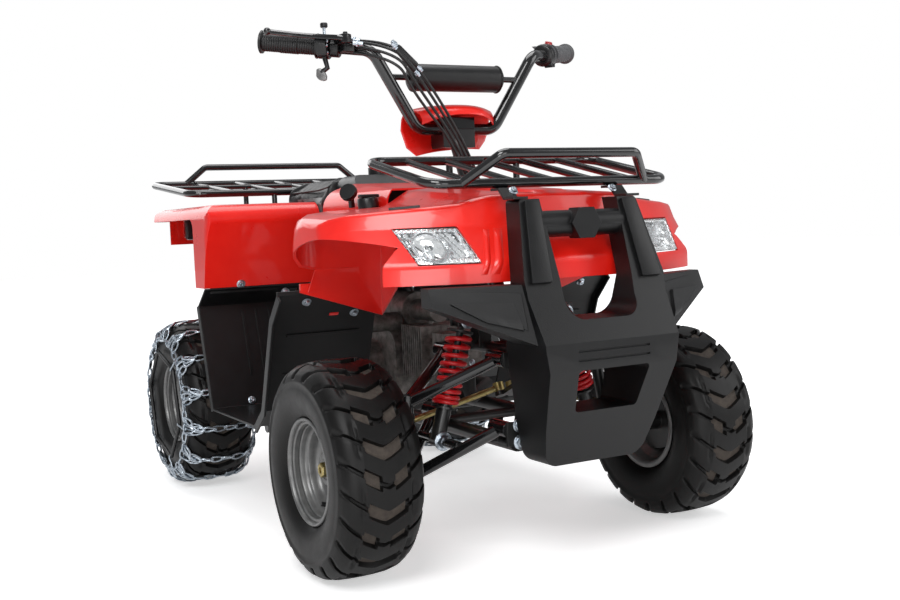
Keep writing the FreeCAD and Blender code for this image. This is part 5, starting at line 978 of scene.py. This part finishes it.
def makeLever():
    inner, _, way, _ = barLine(-1)
    start = inner + way * bar["clamp"]
    reach = Vector(lever["reach"])
    middle = start + way * lever["collar"] / 2
    ahead = Vector((reach.x, reach.y, 0)).normalized()
    # perch: a cast arm from the clamp to the lever's pin, cap bolts and a switch under it
    perch = [stepFrom(middle, way, ahead, (b, a, lever["perchFoot"])) for a, b in lever["perch"]]
    switch = [stepFrom(middle, way, ahead, (b, a, lever["switchFoot"])) for a, b in lever["switch"]]
    parts = [collarPart(start, way, lever["collar"], bar["pod"] * lever["collarShare"]),
             prismPart(perch, up * lever["perchDepth"], lever["perchRound"]),
             prismPart(switch, up * lever["switchDepth"], lever["switchRound"], 1)]
    for along in lever["capBolts"]:
        place = stepFrom(middle, way, ahead, (along, -bar["pod"] * lever["capBoltShare"], lever["capBoltUp"]))
        parts.append(boltPart(place, -ahead, lever["capBolt"], 2))
    hinge = middle + reach
    parts.append(boltPart(hinge + up * lever["pinUp"], up, lever["pin"], 2))
    # blade: deep at the pin, curved round the fingers, with a ball at its end
    blade = [stepFrom(hinge, way, ahead, (-a, b, lever["bladeFoot"])) for a, b in lever["blade"]]
    parts.append(prismPart(blade, up * lever["bladeDepth"], lever["bladeRound"], 2))
    turns = [math.radians(15 * k - 90) for k in range(13)]
    ball = [(lever["ball"] * math.sin(turn), lever["ball"] * math.cos(turn)) for turn in turns]
    parts.append(turnPart(ball, stepFrom(hinge, way, ahead, lever["ballAt"]), way, 20, 2))
    # cable adjusters with their lock nuts
    foot = stepFrom(middle, way, ahead, lever["adjusterAt"])
    for place in (foot, stepFrom(foot, way, ahead, lever["adjusterStep"])):
        parts += [tubePart([place, place + way * lever["stemLength"]], lever["stem"], 12, index=3),
                  turnPart(lever["nut"], place, way, 6, 3)]
    addPiece("lever_and_perch", parts, [blackNylon, softRubber, glossEnamel, galvanisedWire], "steering",
             ("brake_lever",))


def makeSwitches():
    inner, _, way, ahead = barLine(1)
    foot = inner + way * bar["start"]
    bore, pod = bar["tube"], bar["pod"]
    body, ring = ([(along, pod + out) for along, out in switches[k]] for k in ("body", "ring"))
    body = [(body[0][0], bore), *body, (body[-1][0], bore)]
    button, low = (stepFrom(foot, way, ahead, switches[k]) for k in ("buttonAt", "toggleAt"))
    lean = up - ahead
    slide = foot + way * switches["slideAlong"] + lean * (pod * switches["slideShare"])
    slider = [stepFrom(slide, way, ahead, (a, b, 0)) for a, b in switches["slide"]]
    toggle = [stepFrom(low, way, ahead, (b, a, 0)) for a, b in switches["toggle"]]
    parts = [turnPart(body, foot, way, 44), turnPart(ring, foot, way, 44, 1),
             turnPart(switches["button"], button, up + ahead * switches["buttonLean"], 24, 2),
             prismPart(slider, lean * switches["slideDepth"], switches["slideRound"], 1),
             prismPart(toggle, -up * switches["toggleDepth"], switches["toggleRound"])]
    addPiece("switch_pod", parts, [blackNylon, greyRubber, redAcrylic], "steering", ("switch_box",))


print("bolts")
# place, the way it faces and radius, on the rider's left; each has its twin on the right
bolts = (
    ((0.2807, 0.1985, 0.4573), (0, -0.96, -0.27), 0.0068), ((0.185, 0.192, 0.434), (0, -0.96, -0.27), 0.0068),
    ((0.3000, -0.2190, 0.4375), (0, -0.72, -0.7), 0.0062), ((0.196, -0.1918, 0.410), (0, -0.72, -0.7), 0.0062),
    ((0.094, -0.5943, 0.2111), (0, -1, 0), 0.0085), ((0.094, -0.5943, 0.2391), (0, -1, 0), 0.0085),
    ((0.160, -0.4540, 0.200), (0, -1, 0), 0.0115), ((0.102, -0.4540, 0.400), (0, -1, 0), 0.0095),
    ((0.0965, -0.6071, 0.6145), (0, -0.72, 0.7), 0.0055),
    ((0.2733, 0.1897, 0.2092), (0, -0.96, 0.28), 0.006), ((0.200, 0.1897, 0.2092), (0, -0.96, 0.28), 0.006),
)


def makeBolts():
    parts = [boltPart((side * x, y, z), (side * way[0], *way[1:]), radius) for (x, y, z), way, radius in bolts
             for side in (-1, 1)]
    addPiece("chassis_bolts", parts, [galvanisedWire], "chassis")


makeHeadlamps()
makeRims()
makeSprings()
makeGrips()
makeThrottle()
makeLever()
makeSwitches()
makeBolts()

print("seat and bar pad")
pads = {
    # each pad: how far inside its box it starts, voxel of the remesh, how far the filling may push, body, fill
    "seat": {"inside": 0.007, "voxel": 0.005, "push": 0.009, "body": "chassis", "fill": 0.8},
    "bar_pad": {"inside": 0.002, "voxel": 0.0045, "push": 0.004, "body": "steering", "fill": 0.85},
    "pressure": 4.0, "frames": 20, "piping": 0.0024, "seam": 0.0016, "seamIn": 0.009,
}


# a smaller copy of a pad's shape, for the cloth to blow up
def padStart(name, spec):
    low, high = (Vector(p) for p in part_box(name))
    middle, size = (low + high) / 2, high - low
    if name == "bar_pad":
        end = 0.006
        rows = ((0, 0), (0, size.z / 2 - end), (end, size.z / 2), (size.x - end, size.z / 2),
                (size.x, size.z / 2 - end), (size.x, 0))
        made = turnPart(rows, (low.x, middle.y, middle.z), (1, 0, 0))
    else:
        made = copyPart(nodes[name], nodes[name].matrix_world)
    for vert in made.data.vertices:
        for i in range(3):
            vert.co[i] = middle[i] + (vert.co[i] - middle[i]) * (size[i] - 2 * spec["inside"]) / size[i]
    return made


def inflate(made, spec):
    scene = bpy.context.scene
    remesh = made.modifiers.new("voxels", "REMESH")
    remesh.mode, remesh.voxel_size = "VOXEL", spec["voxel"]
    applyAll(made)
    rest = [vert.co.copy() for vert in made.data.vertices]
    cloth = made.modifiers.new("filling", "CLOTH")
    cloth.settings.use_pressure = True
    cloth.settings.uniform_pressure_force = pads["pressure"]
    cloth.settings.effector_weights.gravity = 0
    scene.frame_start, scene.frame_end = 1, pads["frames"]
    for step in range(1, pads["frames"] + 1):
        scene.frame_set(step)
    blown = made.evaluated_get(bpy.context.evaluated_depsgraph_get()).data
    moved = [vert.co.copy() for vert in blown.vertices]
    made.modifiers.remove(cloth)
    scene.frame_set(1)
    for vert, old, new in zip(made.data.vertices, rest, moved):
        step = new - old
        vert.co = old + step * min(1.0, spec["push"] / max(step.length, 1e-6))


def makePads():
    for name in ("seat", "bar_pad"):
        spec = pads[name]
        made = addPiece(name + "_cover", [padStart(name, spec)], [blackVinyl], spec["body"], (name,), sharp=60)
        inflate(made, spec)
        smooth = made.modifiers.new("smooth", "SUBSURF")
        smooth.levels = smooth.render_levels = 1
        applyAll(made)
        made.data.shade_smooth()
    # piping along the seat's upper edges
    parts = []
    low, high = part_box("seat")
    for side in (-1, 1):
        x, z = side * (high[0] - 0.012), high[2] - 0.023
        line = ((x, low[1] + 0.014, z + 0.003), (x, low[1] + 0.07, z - 0.002), (x, high[1] - 0.05, z - 0.003),
                (x * 0.96, high[1] - 0.02, z - 0.003), (x * 0.82, high[1] - 0.008, z - 0.004),
                (0, high[1] - 0.005, z - 0.004))
        parts.append(tubePart(line, pads["piping"], 10))
    addPiece("seat_piping", parts, [softRubber], "chassis")
    # a stitched seam round each end of the bar's pad
    parts = []
    low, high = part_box("bar_pad")
    y, z = (low[1] + high[1]) / 2, (low[2] + high[2]) / 2
    radius = max(vert.co.z for vert in bpy.data.objects["bar_pad_cover"].data.vertices) - z
    turns = [2 * math.pi * k / 40 for k in range(40)]
    for x in (low[0] + pads["seamIn"], high[0] - pads["seamIn"]):
        ring = [(x, y + radius * math.cos(turn), z + radius * math.sin(turn)) for turn in turns]
        parts.append(tubePart(ring, pads["seam"], 8, closed=True))
    addPiece("pad_seams", parts, [softRubber], "steering")


print("moulded bodies")
moulded = {
    # node: width of its rounded edges, the angle from which an edge is one, the angle up to which facets are
    # joined, material
    "front_body": (0.003, 42, 1, redPolypropylene), "rear_body": (0.002, 40, 1, redPolypropylene),
    "front_bumper": (0.0045, 24, 1, grainedPolyethylene), "footwells": (0.002, 24, 0, grainedPolyethylene),
    "tank_cover": (0.002, 40, 1, blackNylon),
}


# a copy of the CAD node with its sharp edges rounded and its facets shaded as one surface
def makeMoulded():
    for name, (width, angle, joined, material) in moulded.items():
        part = copyPart(nodes[name], nodes[name].matrix_world)
        pick(part)
        bpy.ops.object.mode_set(mode="EDIT")
        bpy.ops.mesh.select_all(action="SELECT")
        bpy.ops.mesh.remove_doubles(threshold=0.00005)
        if joined:
            bpy.ops.mesh.dissolve_limited(angle_limit=math.radians(joined), delimit=set())
        bpy.ops.object.mode_set(mode="OBJECT")
        made = addPiece(name + "_shell", [part], [material], "chassis", (name,), sharp=180)
        edges = made.modifiers.new("edges", "BEVEL")
        edges.width, edges.segments, edges.harden_normals = width, 3, True
        edges.limit_method, edges.angle_limit = "ANGLE", math.radians(angle)
        made.modifiers.new("normals", "WEIGHTED_NORMAL").keep_sharp = True
        applyAll(made)


print("cover over the bar's clamp")
visor = {
    "half": 0.095, "across": 40, "thickness": 0.003, "edge": 0.001, "sweep": 0.035, "drop": 0.012,
    # share of the width, behind or ahead, height, for a section through the middle from its low rear edge
    "section": ((0.72, -0.226, 0.712), (0.9, -0.219, 0.728), (1.0, -0.217, 0.748), (1.0, -0.222, 0.768),
                (0.97, -0.234, 0.7815), (0.92, -0.252, 0.7865), (0.86, -0.270, 0.7855), (0.82, -0.287, 0.781),
                (0.8, -0.298, 0.7745), (0.8, -0.3025, 0.766)),
}


# a flat grid, its rows set to the sections, then given its thickness and a rounded rim
def makeVisor():
    last = len(visor["section"]) - 1
    bpy.ops.object.select_all(action="DESELECT")
    bpy.ops.mesh.primitive_grid_add(x_subdivisions=visor["across"], y_subdivisions=last, location=(0, 0, 0))
    part = bpy.context.object
    count = visor["across"] + 1
    for n, vert in enumerate(part.data.vertices):
        j, i = divmod(n, count)
        share, y, z = visor["section"][j]
        u = 2 * i / visor["across"] - 1
        front = max(0.0, (j - 3) / (last - 3))
        low = visor["drop"] * (1 - u) / 2 if j < 2 else 0.0
        vert.co = (u * visor["half"] * share, y + visor["sweep"] * front * abs(u) ** 3,
                   z - visor["drop"] * abs(u) ** 2.4 * (0.4 + front) - low)
    made = addPiece("bar_cover_visor", [part], [redPolypropylene], "steering", ("bar_cover",), sharp=60)
    skin = made.modifiers.new("skin", "SOLIDIFY")
    skin.thickness, skin.offset = visor["thickness"], 0
    edges = made.modifiers.new("edges", "BEVEL")
    edges.width, edges.segments = visor["edge"], 2
    edges.limit_method, edges.angle_limit = "ANGLE", math.radians(50)
    applyAll(made)


print("tank's underside")
# dark between the hood and the engine
tank = {"half": 0.098, "ahead": -0.195, "behind": 0.07, "low": 0.452, "high": 0.556, "round": 0.014}


def makeTank():
    ahead, behind, low, high = (tank[k] for k in ("ahead", "behind", "low", "high"))
    corners = ((ahead, low + 0.02), (ahead + 0.03, low), (behind, low + 0.012), (behind, high), (ahead, high))
    part = prismPart([(-tank["half"], y, z) for y, z in corners], (2 * tank["half"], 0, 0), tank["round"])
    addPiece("tank_underside", [part], [blackNylon], "chassis")


print("body trim")
trim = {
    # black plug let into each fender's top: corners (x, y) on the rider's right
    "plug": ((-0.262, -0.497), (-0.219, -0.522), (-0.214, -0.509), (-0.257, -0.484)), "plugRise": 0.0035,
    # plain plates on the seat's sides: from and to behind, from and to high, thickness, finish
    "panels": ((0.158, 0.300, 0.598, 0.634, 0.0012, 0), (0.166, 0.205, 0.603, 0.614, 0.0022, 1),
               (0.212, 0.262, 0.618, 0.629, 0.0022, 1)),
    # raised fold over the nose
    "fold": ((-0.034, -0.574), (0.034, -0.574), (0.05, -0.40), (-0.05, -0.40)), "foldRise": 0.004,
    # flutes beside each headlamp: half width and height of top and foot, half breadth
    "flutes": (((0.118, 0.556), (0.147, 0.486), 0.0075), ((0.139, 0.556), (0.166, 0.486), 0.0055)),
    "fluteRise": 0.0032,
    # a round tap and a square cap behind the hood on the rider's right
    "tap": (-0.172, -0.150, 0.628), "tapLean": (-0.55, -0.5, 0.35),
    "tapRows": ((0, 0), (0, 0.007), (0.006, 0.007), (0.0065, 0.0155), (0.0085, 0.0168), (0.0165, 0.0168),
                (0.0185, 0.0155), (0.0185, 0)),
    "cap": (-0.176, -0.236, 0.594), "capLean": (-0.12, -0.05, 1), "capLid": (0.0185, 0.008),
    "capRows": ((0, 0), (0, 0.021), (0.003, 0.022), (0.005, 0.0195), (0.0245, 0.0185), (0.027, 0.0165),
                (0.027, 0)),
}
# the least height of a cover's edge, so that its rim doesn't close to nothing
thin = 0.0001


# rises from the edges by share, and stays level between them
def level(s, t, acrossRate, upRate):
    return min(1, acrossRate * s, acrossRate * (1 - s), upRate * t, upRate * (1 - t))


def makeBodyTrim():
    surface = castSurface("front_body")
    parts = []
    for side in (-1, 1):
        corners = [(-side * x, y, 0.65) for x, y in trim["plug"]]
        parts.append(coverPart(surface, corners, (0, 0, -1), lambda s, t: trim["plugRise"] * (
            0.35 if 0.2 < s < 0.8 and 0.3 < t < 0.7 else 1), (20, 12), 1))
        for (x0, z0), (x1, z1), half in trim["flutes"]:
            corners = [(side * x + end * half, -0.7, z) for x, z, end in
                       ((x0, z0, -1), (x0, z0, 1), (x1, z1, 1), (x1, z1, -1))]
            parts.append(coverPart(surface, corners, (0, 1, 0), lambda s, t: thin + trim["fluteRise"]
                                   * math.sin(math.pi * s) * min(1, 6 * t, 6 * (1 - t)), (8, 14)))
    corners = [(x, y, 0.7) for x, y in trim["fold"]]
    parts.append(coverPart(surface, corners, (0, 0, -1), lambda s, t: thin + trim["foldRise"]
                           * level(s, t, 12, 10), (24, 20)))
    tap, cap = Vector(trim["tap"]), Vector(trim["cap"])
    lean = Vector(trim["tapLean"]).normalized()
    wide, deep = trim["capLid"]
    lid = [cap + Vector((a * wide, b * deep, 0.0265)) for a, b in ((-1, -1), (1, -1), (1, 1), (-1, 1))]
    parts += [turnPart(trim["tapRows"], tap, lean, 32, 1),
              tubePart([tap - lean * 0.002 - up * 0.022, tap + lean * 0.003], 0.006, 14, index=1),
              turnPart(trim["capRows"], cap, trim["capLean"], 36, 1), prismPart(lid, up * 0.006, 0.002, 1)]
    addPiece("hood_trim", parts, [redPolypropylene, blackNylon], "chassis")

    seatSide = castSurface("seat_cover")
    parts = []
    for side in (-1, 1):
        for y0, y1, z0, z1, rise, index in trim["panels"]:
            corners = [(side * 0.3, y, z) for y, z in ((y0, z0), (y1, z0), (y1, z1), (y0, z1))]
            parts.append(coverPart(seatSide, corners, (-side, 0, 0), lambda s, t: rise, (8, 3), index))
    addPiece("side_panels", parts, [silverPaint, greyRubber], "chassis")


print("bumper panels")
bumperFace = {
    # raised panel down the front of each upright: half from and to, ahead, and height, at its top and foot
    "top": (0.0795, 0.1055, -0.6482, 0.5965), "foot": (0.0862, 0.1235, -0.6895, 0.4700), "rise": 0.0075,
    "round": 0.002, "normal": (0, -0.95, 0.312),
    # raised field on each wing, as half width and height of its corners
    "wing": ((0.238, 0.4445), (0.151, 0.4440), (0.1430, 0.4010), (0.193, 0.4155)), "wingRise": 0.0052,
}


def makeBumperPanels():
    surface = castSurface("front_bumper")
    normal = Vector(bumperFace["normal"])
    (a, b, y1, z1), (c, d, y0, z0) = bumperFace["top"], bumperFace["foot"]
    parts = []
    for side in (-1, 1):
        outline = [Vector(p) - normal * 0.001 for p in
                   ((side * a, y1, z1), (side * b, y1, z1), (side * d, y0, z0), (side * c, y0, z0))]
        parts.append(prismPart(outline, normal * bumperFace["rise"], bumperFace["round"]))
        corners = [(side * x, -0.9, z) for x, z in bumperFace["wing"]]
        parts.append(coverPart(surface, corners, (0, 1, 0), lambda s, t: bumperFace["wingRise"], (12, 5)))
    addPiece("bumper_panels", parts, [grainedPolyethylene], "chassis")


print("flaps")
flaps = {
    # beads across the front flap, and its red slot: half width from and to, low and high, rise, cells
    "beads": ((0.325, 0.18, 0.372, 0.377, 0.0022), (0.325, 0.18, 0.30, 0.303, 0.0015)),
    "slot": (0.246, 0.228, 0.408, 0.4125, 0.0012),
    # upright ribs on the rear flap: half widths, half breadth, low and high, rise
    "ribs": (0.205, 0.235, 0.265), "rib": (0.003, 0.26, 0.40, 0.0025),
    # flange behind the rear body's lower edge, where the rear flap is bolted: half width, behind, low and high
    "flange": (0.125, 0.346, 0.2035, 0.440, 0.460), "skin": 0.004,
}


def makeFlapTrim():
    surface = castSurface("footwells")

    # a patch on the flap between two half widths and two heights
    def patch(side, y, a, b, low, high, rise, cells, index=0):
        corners = [(side * x, y, z) for x, z in ((a, low), (b, low), (b, high), (a, high))]
        return coverPart(surface, corners, (0, 1, 0), rise, cells, index)

    parts = []
    for side in (-1, 1):
        for a, b, low, high, rise in flaps["beads"]:
            parts.append(patch(side, -0.35, a, b, low, high, lambda s, t: rise, (12, 2)))
        a, b, low, high, rise = flaps["slot"]
        parts.append(patch(side, -0.35, a, b, low, high, lambda s, t: rise, (4, 2), 1))
        half, low, high, rise = flaps["rib"]
        for x in flaps["ribs"]:
            parts.append(patch(side, 0.05, x - half, x + half, low, high,
                               lambda s, t: thin + rise * min(1, 8 * t, 8 * (1 - t)), (3, 12)))
        a, b, y, low, high = flaps["flange"]
        outline = [(side * x, y, z) for x, z in ((a, low), (b, low), (b, high), (a, high))]
        parts.append(prismPart(outline, (0, flaps["skin"], 0), 0.0008))
    addPiece("flap_ribs", parts, [grainedPolyethylene, redPolypropylene], "chassis")


print("cable adjusters")
adjusters = {"count": 2, "sleeve": 0.0052, "length": 0.05, "barrel": 0.013, "stem": 0.0036, "nut": 0.0046}


# long sleeves and bright barrels where two of the cables take up their slack
def makeAdjusters():
    radius, length, barrel = (adjusters[k] for k in ("sleeve", "length", "barrel"))
    bore = cables["diameter"] / 2
    sleeve = ((0, bore), (0, radius * 0.8), (0.004, radius), (length - 0.004, radius), (length, radius * 0.8),
              (length, bore))
    parts = []
    for route in cables["routes"][:adjusters["count"]]:
        a, b = Vector(route[1]), Vector(route[2])
        way = (b - a).normalized()
        foot = (a + b) / 2 - way * length / 2
        parts.append(turnPart(sleeve, foot, way, 18))
        stem, nut = adjusters["stem"], adjusters["nut"]
        for start in (-barrel, length):
            steps = ((0, bore), (0, stem), (0.4, stem), (0.4, nut), (0.7, nut), (0.7, stem), (1, stem),
                     (1, bore))
            rows = [(start + barrel * share, r) for share, r in steps]
            parts.append(turnPart(rows, foot, way, 12, 1))
    addPiece("cable_adjusters", parts, [softRubber, galvanisedWire], "steering")


print("engine fittings")
# bright bolts round both side covers of the crankcase, and on the barrel's head
fittings = {
    "count": 6, "radius": 0.044, "middle": (0.03, 0.282), "coverBolt": 0.0036,
    "head": ((-0.018, 0.300), (0.018, 0.300), (-0.018, 0.336), (0.018, 0.336)), "headBolt": 0.0045,
}


def makeEngineFittings():
    parts = []
    case, barrel = castSurface("engine_case"), castSurface("engine_barrel")
    for side in (-1, 1):
        for k in range(fittings["count"]):
            angle = 2 * math.pi * (k + 0.5) / fittings["count"]
            y, z = (m + fittings["radius"] * f(angle) for m, f in zip(fittings["middle"], (math.cos, math.sin)))
            place = case.ray_cast(Vector((side * 0.4, y, z)), Vector((-side, 0, 0)))[0]
            if place is not None:
                parts.append(boltPart(place, (side, 0, 0), fittings["coverBolt"]))
    for x, z in fittings["head"]:
        place = barrel.ray_cast(Vector((x, -0.5, z)), Vector((0, 1, 0)))[0]
        if place is not None:
            parts.append(boltPart(place, (0, -1, 0), fittings["headBolt"]))
    addPiece("engine_bolts", parts, [galvanisedWire], "chassis")


print("intake hose")
# ribbed rubber from the carburettor's mouth up towards the air box under the seat
hose = {
    "line": ((0, 0.012, 0.398), (0.006, 0.034, 0.405), (0.024, 0.053, 0.421), (0.041, 0.066, 0.444),
             (0.050, 0.075, 0.472), (0.052, 0.080, 0.505)),
    "radius": 0.0195, "ribRadius": 0.0235, "ribs": 7, "ribLength": 0.0045,
}


def makeHose():
    places = [Vector(p) for p in hose["line"]]
    parts = [tubePart(places, hose["radius"], 24)]
    for k in range(hose["ribs"]):
        share = (k + 0.5) / hose["ribs"] * (len(places) - 1)
        i = int(share)
        middle = places[i].lerp(places[i + 1], share - i)
        half = (places[i + 1] - places[i]).normalized() * hose["ribLength"] / 2
        parts.append(tubePart([middle - half, middle + half], hose["ribRadius"], 24))
    addPiece("intake_hose", parts, [softRubber], "chassis")


print("tail lamp housings")
# black cups that hold the tail lamps' bulbs, seen from the front through the wheel arches
housings = {
    # boxes: half width from and to, from and to behind, low and high, round, finish
    "boxes": ((0.201, 0.289, 0.5535, 0.573, 0.5535, 0.6045, 0.006, 0),
              (0.214, 0.274, 0.552, 0.556, 0.562, 0.597, 0.001, 1),
              (0.252, 0.262, 0.565, 0.569, 0.5455, 0.5635, 0.0008, 0)),
}


def makeHousings():
    parts = []
    for side in (-1, 1):
        for a, b, ahead, behind, low, high, edge, index in housings["boxes"]:
            outline = [(side * x, ahead, z) for x, z in ((a, low), (b, low), (b, high), (a, high))]
            parts.append(prismPart(outline, (0, behind - ahead, 0), edge, index))
    addPiece("tail_lamp_housings", parts, [blackNylon, greyRubber], "chassis")


makePads()
makeMoulded()
makeVisor()
makeTank()
makeBodyTrim()
makeBumperPanels()
makeFlapTrim()
makeAdjusters()
makeEngineFittings()
makeHousings()
makeHose()
bpy.data.objects.remove(boltForm)
